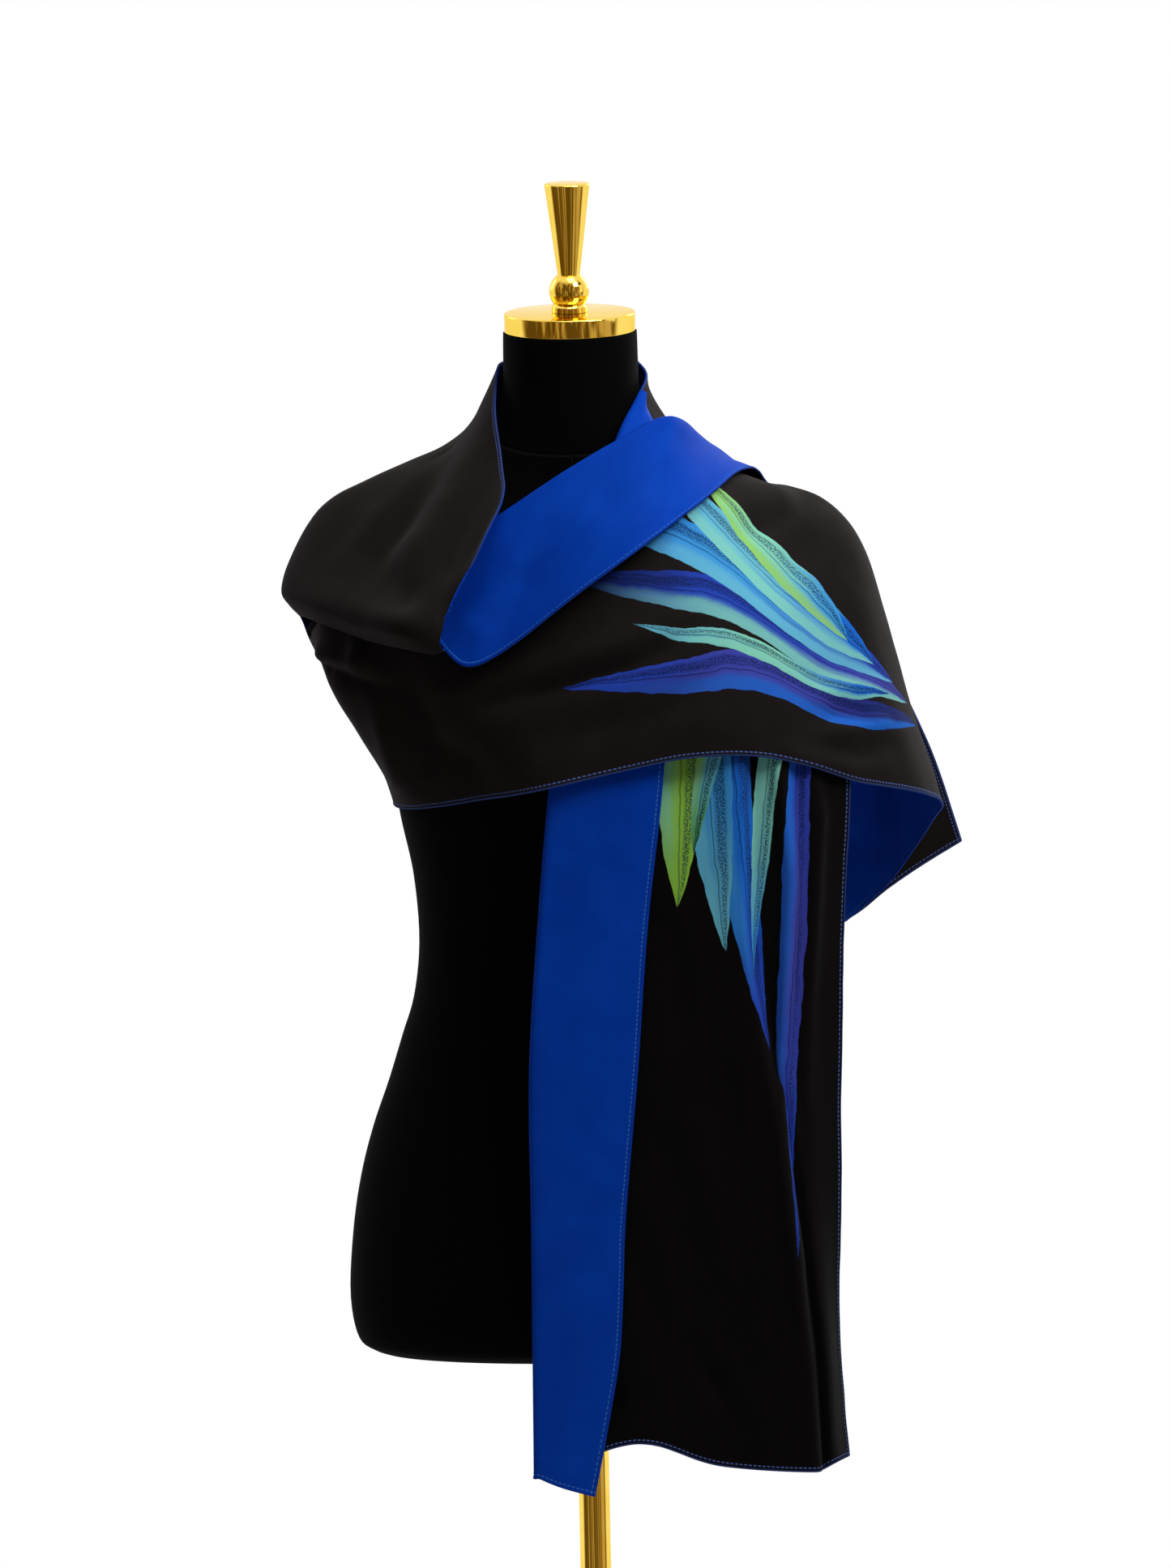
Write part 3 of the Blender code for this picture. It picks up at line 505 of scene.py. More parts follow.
def draped_grids(body):
    """The cloth's four coarse grids, as the solids have them, and the rows past their seams."""
    on_body = [(body, WALL / 2 + BODY_CLEARANCE, 0)]
    layer_gap = WALL + LAYER_CLEARANCE
    hanging = sections(FIRST_PASS_COLUMNS, hanging_rows(), STRIP_STEPS, HANGING_MAIN_STEPS)
    first = sections(FIRST_PASS_COLUMNS, FIRST_PASS_ROWS, STRIP_STEPS, HANGING_MAIN_STEPS)
    nape = plain_sections(NAPE_COLUMNS, NAPE_ROWS, NAPE_UPPER_STEPS + NAPE_LOWER_STEPS)
    cowl = plain_sections(COWL_COLUMNS, COWL_ROWS, NAPE_UPPER_STEPS)
    chest = sections(CHEST_COLUMNS, CHEST_ROWS, FLAP_STEPS, CHEST_MAIN_STEPS)
    thrown = sections(CHEST_COLUMNS, THROWN_ROWS, FLAP_STEPS, CHEST_MAIN_STEPS)
    upper = sum(NAPE_UPPER_STEPS)
    lower = sum(NAPE_LOWER_STEPS)
    first_crest = STRIP_STEPS + FOLD_STEPS // 2
    chest_crest = FLAP_STEPS + FOLD_STEPS // 2

    first_grid = smooth(first[::-1] + hanging, FIRST_ROW_STEPS)
    first_grid = lift_turned(first_grid, first_crest, on_body)

    joined = first_grid[0, first_crest:]
    beyond_start = first_grid[2, first_crest:]
    beyond_end = np.concatenate([cowl[0], resampled(chest[0][chest_crest:], lower + 1)[1:]])
    nape_grid = smooth([joined] + nape, NAPE_ROW_STEPS, beyond_start, beyond_end)
    nape_grid[1:] = lift(nape_grid, on_body)[1:]

    start = resampled(nape_grid[-1, upper:], 4 * lower + 1)[PLEAT_START:]
    before = resampled(nape_grid[-4, upper:], 4 * lower + 1)[PLEAT_START:]
    chest_rows = [pleat_section(start), *chest, *thrown]
    chest_grid = smooth(chest_rows, CHEST_ROW_STEPS, pleat_section(before))
    shoulder = sum(CHEST_ROW_STEPS[:len(chest)])
    near_nape = shoulder - 2 * CHEST_ROW_STEPS[-1]
    over_first = on_body + [(grid_tree(first_grid), layer_gap, 0)]
    over_nape = over_first + [(grid_tree(nape_grid), layer_gap, near_nape)]
    chest_grid[1:] = lift_turned(chest_grid[1:], chest_crest, over_nape)

    cowl_rows = [nape_grid[-1, :upper + 1], *cowl]
    cowl_grid = smooth(cowl_rows, COWL_ROW_STEPS, nape_grid[-4, :upper + 1])
    over_chest = on_body + [(grid_tree(chest_grid[:shoulder // 2]), layer_gap, 0)]
    cowl_grid[1:] = lift(cowl_grid, over_chest)[1:]

    strip_start = 2 * first_grid[0] - first_grid[1]
    strip_start[first_crest:] = nape_grid[1]
    past_pleat = resampled(chest_grid[1, chest_crest:], lower + 1)[1:]
    past_nape = np.concatenate([cowl_grid[1], past_pleat])
    chest_start = pleat_section(resampled(nape_grid[-2, upper:], 4 * lower + 1)[PLEAT_START:])
    return {
        "front": (first_grid, strip_start, None),
        "nape": (nape_grid, first_grid[1, first_crest:], past_nape),
        "cowl": (cowl_grid, nape_grid[-2, :upper + 1], None),
        "chest": (chest_grid, chest_start, None),
    }


# Fine grids. Near a hem the lines of the grid lie at these distances from its edge, so that
# the rolled edge and the stitched groove have their own shape.

HEM_LINES = (0.6, 1.4, 2.0, 2.6, 3.4, 5.2, 8.0)
HEM_LINES_SHARE = 0.96
LENGTH_PERCENTILE = 85
FINE_SPACING = 4.3
CLOTH_HALF = 0.55
HEM_HALF = 1.0
HEM_WIDTH = 5.5
STITCH_PLACE = 2.3
STITCH_GROOVE = 0.32
STITCH_GROOVE_WIDTH = 0.55


def places_along(lengths, spacing, hem_first, hem_last):
    """The shares of each interval at which the fine grid has a line."""
    result = []
    reach = HEM_LINES[-1] + spacing / 2
    for k, length in enumerate(lengths):
        count = max(1, math.ceil(length / spacing))
        shares = [step / count for step in range(1, count + 1)]
        hem_shares = [line / length for line in HEM_LINES if line < length * HEM_LINES_SHARE]
        if hem_first and k == 0:
            shares = [s for s in shares if s * length > reach or s == 1.0]
            shares += hem_shares
        if hem_last and k == len(lengths) - 1:
            shares = [s for s in shares if (1 - s) * length > reach or s == 1.0]
            shares += [1 - share for share in hem_shares]
        result.append(sorted(shares))
    return result


def lengths_of(grid, axis):
    """How long the intervals are along an axis, about the longest of each."""
    steps = np.linalg.norm(np.diff(grid, axis=axis), axis=2)
    return np.percentile(steps, LENGTH_PERCENTILE, axis=1 - axis)


def fine_grid(grid, before, after, row_places, column_places):
    rows = refined(grid, row_places, before, after)
    return refined(rows.transpose(1, 0, 2), column_places).transpose(1, 0, 2)


def normals_of(grid):
    along = np.gradient(grid, axis=0)
    across = np.gradient(grid, axis=1)
    normals = np.cross(across, along)
    return normals / np.maximum(np.linalg.norm(normals, axis=2, keepdims=True), 1e-9)


def run_along(grid, axis):
    """How far each point lies along its own line of the grid."""
    steps = np.linalg.norm(np.diff(grid, axis=axis), axis=2)
    start = np.zeros_like(np.take(steps, [0], axis=axis))
    return np.cumsum(np.concatenate([start, steps], axis=axis), axis=axis)


FAR = 900.0


class Patch:
    """One stretch of the cloth as a fine grid, with how far each point lies from the hems."""

    def __init__(self, grid, before, after, column_places, hems, offset, crest):
        self.hems = hems
        self.offset = offset
        self.turned = False
        row_places = places_along(lengths_of(grid, 0), FINE_SPACING, False, "end" in hems)
        self.grid = fine_grid(grid, before, after, row_places, column_places)
        self.crest = sum(len(shares) for shares in column_places[:crest])
        self.measure()

    def measure(self):
        across = run_along(self.grid, 1)
        along = run_along(self.grid, 0)
        whole = across[:, -1:]
        self.across = across - across[:, self.crest:self.crest + 1]
        self.along = along.mean(axis=1, keepdims=True) + np.zeros_like(across)
        if self.turned:
            self.along = self.along[-1:] - self.along
        first = across if "first" in self.hems else np.full_like(across, FAR)
        last = whole - across if "last" in self.hems else np.full_like(across, FAR)
        self.long_hem = np.minimum(first, last)
        to_end = along if self.turned else along[-1:] - along
        self.short_hem = to_end if "end" in self.hems else np.full_like(across, FAR)

    def turn_round(self):
        """Lists the rows the other way round, so that the outer side stays the outer side."""
        self.grid = self.grid[::-1]
        self.turned = True
        self.measure()

    def normals(self):
        return normals_of(self.grid)


def half_thickness(distance):
    """Half of the cloth's thickness at a distance from its edge: a turned, stitched hem."""
    share = np.clip(1 - distance / HEM_WIDTH, 0.0, 1.0)
    raised = (HEM_HALF - CLOTH_HALF) * (share * share * (3 - 2 * share))
    groove = STITCH_GROOVE * np.exp(-((distance - STITCH_PLACE) / STITCH_GROOVE_WIDTH) ** 2)
    return CLOTH_HALF + raised - groove


# Soft creases: the stretch, its side of the form, how wide the crease is, then points (x, z)
# with how far the cloth stands out there, or sinks in if below zero
CREASES = (
    ("cowl", -1, 9.0, ((-86, 1419, -0.6), (-110, 1383, -2.0), (-131, 1354, -3.2),
                       (-148, 1336, -2.4), (-156, 1322, -0.8))),
    ("cowl", -1, 13.0, ((-75, 1406, 0.6), (-94, 1373, 1.8), (-118, 1342, 2.4), (-134, 1322, 0.6))),
    ("cowl", -1, 13.0, ((-117, 1387, 0.5), (-144, 1361, 2.2), (-170, 1334, 1.4))),
    ("cowl", -1, 15.0, ((-156, 1334, -1.0), (-140, 1318, -3.4), (-124, 1308, -3.0),
                        (-108, 1304, -0.8))),
    ("cowl", -1, 10.0, ((-172, 1300, 0.6), (-146, 1291, 2.2), (-122, 1286, 2.4),
                        (-108, 1284, 1.0))),
    ("cowl", -1, 9.0, ((-66, 1392, 0.4), (-84, 1352, -1.6), (-96, 1326, -1.8), (-104, 1308, -0.4))),
    ("chest", -1, 9.0, ((90, 1280, -0.6), (63, 1264, -2.6), (33, 1251, -3.6), (3, 1243, -3.2),
                        (-31, 1234, -2.6), (-71, 1225, -1.8), (-97, 1217, -0.6))),
    ("chest", -1, 13.0, ((76, 1288, 0.5), (37, 1268, 2.2), (3, 1258, 2.0), (-30, 1249, 1.6),
                         (-64, 1240, 0.6))),
    ("chest", -1, 12.0, ((103, 1253, -0.6), (79, 1227, -2.0), (52, 1214, -1.8), (15, 1205, -1.4),
                         (-25, 1199, -0.5))),
    ("chest", -1, 13.0, ((-132, 1250, -1.0), (-118, 1218, -4.0), (-111, 1191, -4.6),
                         (-115, 1164, -2.0))),
    ("chest", -1, 15.0, ((-97, 1210, -0.8), (-88, 1184, -2.8), (-72, 1168, -1.2))),
    ("chest", -1, 8.0, ((-153, 1228, 0.8), (-144, 1200, 2.6), (-135, 1166, 1.8))),
    ("chest", -1, 6.0, ((-187, 1250, -3.2), (-168, 1243, -3.0), (-150, 1237, -1.6),
                        (-132, 1234, -0.4))),
    ("chest", -1, 8.0, ((-190, 1262, 2.4), (-168, 1256, 2.0), (-146, 1250, 0.8))),
    ("chest", -1, 5.0, ((-166, 1282, 0.8), (-163, 1262, 2.0), (-165, 1244, 0.6))),
    ("chest", -1, 6.0, ((176, 1198, -0.2), (190, 1211, -0.9), (211, 1208, -0.5))),
    ("chest", -1, 7.0, ((186, 1184, -0.2), (208, 1181, -1.0), (231, 1186, -0.8))),
    ("chest", -1, 7.0, ((172, 1196, 0.8), (198, 1197, 3.4), (226, 1201, 1.8))),
    ("chest", -1, 8.0, ((150, 1186, 0.8), (176, 1176, 2.8), (206, 1169, 1.6), (228, 1168, 0.6))),
    ("chest", -1, 9.0, ((170, 1222, 0.6), (196, 1230, 2.2), (222, 1228, 1.0))),
    ("chest", -1, 9.0, ((125, 1345, -0.6), (148, 1354, -2.4), (171, 1366, -1.4))),
    ("chest", -1, 12.0, ((118, 1366, 0.6), (155, 1374, 1.4))),
    ("chest", -1, 11.0, ((158, 1308, -0.6), (174, 1334, -2.4), (192, 1349, -1.2))),
    ("chest", -1, 14.0, ((196, 1318, 0.6), (207, 1290, 1.6), (216, 1260, 0.4))),
    ("chest", -1, 18.0, ((60, 1200, 0.4), (100, 1206, 1.8), (150, 1204, 0.6))),
    ("flap", -1, 14.0, ((75, 1423, 0.5), (46, 1390, 1.8), (12, 1354, 2.4), (-15, 1325, 0.8))),
    ("flap", -1, 12.0, ((59, 1396, -0.4), (25, 1371, -1.6), (2, 1348, -0.6))),
    ("flap", -1, 11.0, ((-21, 1348, -0.8), (-42, 1316, -2.4), (-63, 1290, -1.2))),
    ("flap", -1, 13.0, ((2, 1371, 0.5), (-42, 1326, 2.0), (-73, 1283, 0.8))),
    ("front", -1, 5.5, ((145, 1200, 1.0), (155, 1092, 3.2), (148, 982, 2.6), (142, 923, 2.0),
                        (150, 831, 1.8), (158, 740, 0.6))),
    ("front", -1, 5.0, ((161, 1190, -1.0), (164, 1082, -2.6), (156, 962, -1.6), (160, 880, -0.4))),
    ("front", -1, 6.0, ((169, 1190, 1.0), (176, 1136, 2.6), (171, 1073, 2.2), (161, 930, 0.8))),
    ("front", -1, 9.0, ((72, 745, -0.6), (92, 716, -2.2), (104, 690, -0.6))),
    ("front", -1, 8.0, ((6, 728, -0.4), (16, 706, -1.8), (14, 688, -0.4))),
    ("front", -1, 10.0, ((40, 1090, -0.4), (50, 1060, -1.6), (44, 1020, -0.4))),
    ("front", -1, 16.0, ((70, 960, 0.4), (86, 880, 1.8), (104, 800, 0.6))),
    ("front", -1, 12.0, ((52, 1150, 0.4), (66, 1040, -1.4), (78, 930, -0.4))),
    ("front", -1, 10.0, ((30, 860, 0.3), (40, 790, -1.2), (60, 730, -0.3))),
    ("nape", 1, 13.0, ((-150, 1382, -0.8), (-104, 1310, -3.6), (-60, 1250, -4.2),
                       (10, 1196, -1.6))),
    ("nape", 1, 16.0, ((-120, 1392, 0.6), (-70, 1330, 2.6), (-10, 1270, 2.8), (60, 1216, 1.0))),
    ("nape", 1, 11.0, ((110, 1402, -0.6), (76, 1330, -3.0), (30, 1276, -3.4), (-20, 1240, -1.0))),
    ("nape", 1, 9.0, ((-40, 1440, -0.8), (0, 1418, -2.6), (42, 1430, -0.8))),
    ("nape", 1, 11.0, ((-60, 1452, 0.4), (0, 1436, 1.8), (52, 1446, 0.6))),
    ("nape", 1, 12.0, ((-170, 1300, -0.6), (-140, 1240, -2.8), (-110, 1180, -1.4))),
    ("nape", 1, 12.0, ((120, 1290, 0.6), (104, 1240, 2.4), (96, 1190, 1.0))),
    ("thrown", 1, 10.0, ((176, 1368, -0.6), (192, 1290, -3.2), (202, 1200, -3.8),
                         (206, 1120, -2.0))),
    ("thrown", 1, 11.0, ((196, 1340, 0.6), (214, 1260, 2.8), (226, 1180, 2.6), (230, 1100, 1.0))),
    ("thrown", 1, 9.0, ((150, 1340, 0.6), (158, 1240, 2.4), (156, 1120, 2.8), (150, 1030, 1.4))),
    ("thrown", 1, 8.0, ((164, 1300, -0.6), (176, 1200, -2.6), (174, 1110, -3.0),
                        (172, 1040, -1.6))),
)
CREASE_RISE = 2.0
UNDULATION = ((58.0, 1.3), (21.0, 0.3))
FACING_GAIN = 3
FOLD_FADE = 10.0


def crease_field(points, facing, name):
    """How far each point of a stretch is moved outward by the creases that are drawn on it."""
    field = np.zeros(points.shape[:2])
    for stretch, side, width, line in CREASES:
        if stretch != name:
            continue
        nearest = np.full(points.shape[:2], np.inf)
        height = np.zeros(points.shape[:2])
        for (x0, z0, h0), (x1, z1, h1) in zip(line, line[1:]):
            run = np.array((x1 - x0, z1 - z0), float)
            offset = points[:, :, (0, 2)] - np.array((x0, z0))
            share = np.clip(offset @ run / (run @ run), 0.0, 1.0)
            away = np.linalg.norm(offset - share[:, :, None] * run, axis=2)
            closer = away < nearest
            nearest = np.where(closer, away, nearest)
            height = np.where(closer, h0 + (h1 - h0) * share, height)
        rise = CREASE_RISE * height * np.exp(-((nearest / width) ** 2))
        right_side = np.clip(facing * side, 0.0, 1.0)
        field += rise * right_side
    return field


def undulation(points):
    """A slight unevenness over the whole cloth."""
    field = np.zeros(points.shape[:2])
    for i in range(points.shape[0]):
        for j in range(points.shape[1]):
            for size, height in UNDULATION:
                field[i, j] += height * noise.noise(Vector(points[i, j] / size))
    return field


def creased(patch, names, margin_name):
    """Moves the patch's points by its creases. The margin's own creases are named apart."""
    sign = np.ones(patch.grid.shape[:2])
    sign[:, :patch.crest] = -1.0
    out = patch.normals() * sign[:, :, None]
    facing = FACING_GAIN * out[:, :, 1]
    field = sum(crease_field(patch.grid, facing, name) for name in names)
    if margin_name:
        margin = crease_field(patch.grid, facing, margin_name)
        field = np.where(patch.across < 0, margin, field)
    field = field + undulation(patch.grid)
    if margin_name:
        field = field * np.clip(np.abs(patch.across) / FOLD_FADE, 0.0, 1.0)
    return patch.grid + out * field[:, :, None]


def cleared(grid, layers):
    """Moves single points of a fine grid outward where they come too close to what is under."""
    needs, directions = shortfalls(grid, layers)
    return grid + directions * spread(needs)[:, :, None]


# The scene's pieces

RIM_ANGLES = (30.0, 60.0, 90.0)
CURL_STEPS = 4
CURL_RADIUS = 1.7
CURL_TURN = 150.0
LINES_AT_FOLD = 6
FINE_AROUND = 132
FINE_LEVELS = 5
FINE_ROUND = 128
EDGE_STEPS = 6
BALL_STEPS = 30
BODY_SHARP = 50.0
TURNED_SHARP = 32.0


def new_mesh(name, points, faces, finish):
    """A mesh object from points in millimetres."""
    mesh = bpy.data.meshes.new(name)
    mesh.from_pydata((np.asarray(points) * MM).tolist(), [], [list(map(int, f)) for f in faces])
    mesh.update()
    mesh.shade_smooth()
    mesh.materials.append(finish)
    made = bpy.data.objects.new(name, mesh)
    bpy.context.scene.collection.objects.link(made)
    return made


def corner_map(made, name, values):
    """A UV map from one pair of numbers for each corner of each face."""
    layer = made.data.uv_layers.new(name=name)
    layer.data.foreach_set("uv", np.asarray(values, np.float32).ravel())


def grid_quads(ids):
    """The quads of a grid of ids, as rows of four."""
    corners = [ids[:-1, :-1], ids[:-1, 1:], ids[1:, 1:], ids[1:, :-1]]
    return np.stack(corners, axis=-1).reshape(-1, 4)


class Shell:
    """Gathers fine patches, and makes the black face and the blue lining from them."""

    def __init__(self):
        self.mids = []
        self.normals = []
        self.halves = []
        self.quads = []
        self.maps = {"cloth": [], "long_hem": [], "short_hem": []}
        self.count = 0

    def add(self, patch, shared=(), bare_rows=0):
        """Adds a patch. `shared` gives the ids that its first row has from another patch, and
        the turned-back margin starts only after the bare rows."""
        rows, columns = patch.grid.shape[:2]
        shown = np.ones((rows - 1, columns - 1), bool)
        shown[:bare_rows, :patch.crest] = False
        shown = shown.ravel()
        ids = np.arange(rows * columns).reshape(rows, columns) + self.count
        self.count += rows * columns
        halves = half_thickness(np.minimum(patch.long_hem, patch.short_hem))
        self.mids.append(patch.grid.reshape(-1, 3))
        self.normals.append(patch.normals().reshape(-1, 3))
        self.halves.append(halves.ravel())
        ids[0, :len(shared)] = shared
        self.quads.append(grid_quads(ids)[shown])
        along = patch.along * MM + patch.offset
        values = {
            "cloth": (patch.across * MM, along),
            "long_hem": (patch.long_hem * MM, along),
            "short_hem": (patch.short_hem * MM, patch.across * MM),
        }
        for name, (u, v) in values.items():
            pairs = np.stack([u, v], axis=-1)
            corners = (pairs[:-1, :-1], pairs[:-1, 1:], pairs[1:, 1:], pairs[1:, :-1])
            self.maps[name].append(np.stack(corners, axis=2).reshape(-1, 4, 2)[shown])
        return ids

    def free_edges(self, quads):
        """The edges that only one quad has, each as (quad, corner)."""
        starts = quads.ravel().astype(np.int64)
        ends = np.roll(quads, -1, axis=1).ravel().astype(np.int64)
        free = ~np.isin(starts * self.count + ends, ends * self.count + starts)
        return [(int(k) // 4, int(k) % 4) for k in np.nonzero(free)[0]]

    def build(self, name, finish, side):
        """The cloth's black face where side is 1, and its lining where it is -1."""
        mids = np.concatenate(self.mids)
        normals = np.concatenate(self.normals)
        halves = np.concatenate(self.halves)
        quads = np.concatenate(self.quads)
        maps = {key: np.concatenate(values) for key, values in self.maps.items()}
        edges = self.free_edges(quads)
        outward_at = {}
        for quad, corner in edges:
            a, b = quads[quad, corner], quads[quad, (corner + 1) % 4]
            out = unit(np.cross(mids[b] - mids[a], normals[a] + normals[b]))
            for item in (a, b):
                outward_at[item] = outward_at.get(item, 0) + out
        extra = []
        rings = {}
        for item, out in outward_at.items():
            rings[item] = [item]
            for angle in RIM_ANGLES:
                turn = math.radians(angle)
                lean = normals[item] * side * math.cos(turn) + unit(out) * math.sin(turn)
                rings[item].append(len(mids) + len(extra))
                extra.append(mids[item] + lean * halves[item])
        rims = []
        rim_maps = {key: [] for key in maps}
        for quad, corner in edges:
            ahead = (corner + 1) % 4
            a, b = quads[quad, corner], quads[quad, ahead]
            for k in range(len(RIM_ANGLES)):
                rims.append((rings[b][k], rings[a][k], rings[a][k + 1], rings[b][k + 1]))
                for key, values in maps.items():
                    at_a, at_b = values[quad, corner], values[quad, ahead]
                    rim_maps[key].append((at_b, at_a, at_a, at_b))
        order = slice(None, None, side)
        faces = np.concatenate([quads, np.array(rims)])[:, order]
        every = np.concatenate([mids + normals * halves[:, None] * side, np.array(extra)])
        used = np.unique(faces)
        renumber = np.zeros(len(every), int)
        renumber[used] = np.arange(len(used))
        made = new_mesh(name, every[used], renumber[faces], finish)
        for key, values in maps.items():
            corner_map(made, key, np.concatenate([values, np.array(rim_maps[key])])[:, order])
        return made


def curled_under(patch):
    """Turns the patch's last long edge under, towards the form."""
    grid = patch.grid
    across = grid[:, -1] - grid[:, -2]
    across /= np.maximum(np.linalg.norm(across, axis=1, keepdims=True), 1e-9)
    inward = -np.array([outward(point) for point in grid[:, -1]])
    columns = []
    for step in range(1, CURL_STEPS + 1):
        angle = math.radians(CURL_TURN * step / CURL_STEPS)
        move = across * math.sin(angle) + inward * (1 - math.cos(angle))
        columns.append(grid[:, -1] + move * CURL_RADIUS)
    patch.grid = np.concatenate([grid, np.stack(columns, axis=1)], axis=1)
    patch.measure()


def clear_of_layers(grid, crest, layers, gap):
    """Lifts the main run over the layers under it, and then its margin over the main run."""
    grid = grid.copy()
    grid[:, crest:] = cleared(grid[:, crest:], layers)
    under = [(grid_tree(grid[:, crest + LINES_AT_FOLD:]), gap, 0)]
    margin = slice(crest - LINES_AT_FOLD)
    grid[:, margin] = cleared(grid[:, margin], layers + under)
    return grid


# Shares of the crossing's length: the start deep under the roll, which has no margin, and how
# far it is to the other shoulder
UNDER_COWL = 0.06
UP_TO_SHOULDER = 0.42
ROWS_AT_SEAM = 6
FINE_LAYER_GAP = 0.2
FINE_BODY_GAP = 0.8

# Where the map of each stretch starts along the cloth, in metres, well apart from the others
FRONT_START, NAPE_START, COWL_START, CHEST_START = 1.0, 3.0, 5.0, 7.0


def dressed_shell(body, fine_body):
    """The four stretches of the cloth, creased, laid over each other and joined."""
    coarse = draped_grids(body)
    front, front_before, _ = coarse["front"]
    nape, nape_before, nape_after = coarse["nape"]
    cowl, cowl_before, _ = coarse["cowl"]
    chest, chest_before, _ = coarse["chest"]
    first_crest = STRIP_STEPS + FOLD_STEPS // 2
    chest_crest = FLAP_STEPS + FOLD_STEPS // 2
    upper = sum(NAPE_UPPER_STEPS)

    # Lines of the fine grids across the cloth, the same on both sides of a seam
    lengths = lengths_of(front, 1)
    main = np.maximum(lengths[first_crest:], lengths_of(nape, 1))
    strip_places = places_along(lengths[:first_crest], FINE_SPACING, True, False)
    main_places = places_along(main, FINE_SPACING, False, True)
    chest_places = places_along(lengths_of(chest, 1), FINE_SPACING, True, True)

    all_hems = ("first", "last", "end")
    front = Patch(front, front_before, None, strip_places + main_places,
                  all_hems, FRONT_START, first_crest)
    front.turn_round()
    nape = Patch(nape, nape_before, nape_after, main_places, ("first", "last"), NAPE_START, 0)
    cowl = Patch(cowl, cowl_before, None, main_places[:upper], ("first",), COWL_START, 0)
    chest = Patch(chest, chest_before, None, chest_places, all_hems, CHEST_START, chest_crest)

    front.grid = creased(front, ("front",), "strip")
    nape.grid = creased(nape, ("nape",), None)
    cowl.grid = creased(cowl, ("cowl",), None)
    chest.grid = creased(chest, ("chest", "thrown"), "flap")

    layer_gap = 2 * HEM_HALF + FINE_LAYER_GAP
    on_body = [(fine_body, CLOTH_HALF + FINE_BODY_GAP, 0)]
    front.grid = clear_of_layers(front.grid, front.crest, on_body, layer_gap)
    nape.grid[1:] = cleared(nape.grid, on_body)[1:]
    nape.grid[0] = front.grid[-1, front.crest:]
    over_first = on_body + [(grid_tree(front.grid), layer_gap, 0)]
    shoulder = int(chest.grid.shape[0] * UP_TO_SHOULDER)
    over_nape = over_first + [(grid_tree(nape.grid), layer_gap, shoulder)]
    chest.grid = clear_of_layers(chest.grid, chest.crest, over_nape, layer_gap)
    curled_under(cowl)
    over_chest = on_body + [(grid_tree(chest.grid[:shoulder]), layer_gap, ROWS_AT_SEAM)]
    cowl.grid = cleared(cowl.grid, over_chest)
    seam_width = cowl.grid.shape[1] - CURL_STEPS
    cowl.grid[0, :-CURL_STEPS] = nape.grid[-1, :seam_width]

    shell = Shell()
    front_ids = shell.add(front)
    nape_ids = shell.add(nape, front_ids[-1, front.crest:])
    shell.add(cowl, nape_ids[-1, :seam_width])
    shell.add(chest, bare_rows=int(chest.grid.shape[0] * UNDER_COWL))
    return shell


def closed_torso(steps, around):
    """The covered body's points and faces, closed at its bottom and at the top of its neck."""
    rings = torso_rings(steps, around)
    points = [point for ring in rings for point in ring]
    ids = np.arange(len(points)).reshape(len(rings), around)
    ids = np.concatenate([ids, ids[:, :1]], axis=1)
    faces = grid_quads(ids).tolist()
    faces.append(list(range(around - 1, -1, -1)))
    faces.append(list(range(len(points) - around, len(points))))
    return points, faces


def fine_torso(finish):
    """The covered body at fine steps, and its surface as a tree."""
    steps = tuple(FINE_LEVELS * count for count in TORSO_STEPS)
    points, faces = closed_torso(steps, FINE_AROUND)
    made = new_mesh("form_body", points, faces, finish)
    made.data.set_sharp_from_angle(angle=math.radians(BODY_SHARP))
    return made, tree_of(points, faces)


def lathe(name, profile, finish):
    """Turns an outline (radius, height), listed from the top down, about Z."""
    points = []
    rings = []
    for radius, height in profile:
        if radius < 1e-6:
            rings.append([len(points)] * FINE_ROUND)
            points.append((0.0, 0.0, height))
            continue
        rings.append(list(range(len(points), len(points) + FINE_ROUND)))
        for step in range(FINE_ROUND):
            angle = math.tau * step / FINE_ROUND
            points.append((radius * math.cos(angle), radius * math.sin(angle), height))
    faces = []
    for above, below in zip(rings, rings[1:]):
        for step in range(FINE_ROUND):
            after = (step + 1) % FINE_ROUND
            face = (below[step], below[after], above[after], above[step])
            faces.append(tuple(dict.fromkeys(face)))
    made = new_mesh(name, points, [face for face in faces if len(face) > 2], finish)
    made.data.set_sharp_from_angle(angle=math.radians(TURNED_SHARP))
    return made


def seat_on_neck(item, height):
    """Places a turned piece on the neck's leaning axis, at a height above the neck's top."""
    seat = np.array((0.0, -NECK_LEAN, NECK_TOP))
    seat[2] += (seat[1] - NECK_PIVOT[1]) * math.tan(NECK_TILT)
    axis = np.array((0.0, -math.sin(NECK_TILT), math.cos(NECK_TILT)))
    item.location = Vector((seat + axis * height) * MM)
    item.rotation_euler = (NECK_TILT, 0.0, 0.0)


def round_top(radius, height, edge):
    """The start of an outline that is flat on top, with a rounded edge."""
    rounded = arc((radius - edge, height - edge), edge, 90, 0, EDGE_STEPS)[1:]
    return [(0.0, height), (radius - edge, height)] + rounded


def cap_profile():
    below = arc((CAP_RADIUS - CAP_EDGE, CAP_EDGE), CAP_EDGE, 0, -90, EDGE_STEPS)
    return round_top(CAP_RADIUS, CAP_HEIGHT, CAP_EDGE) + below + [(0.0, 0.0)]


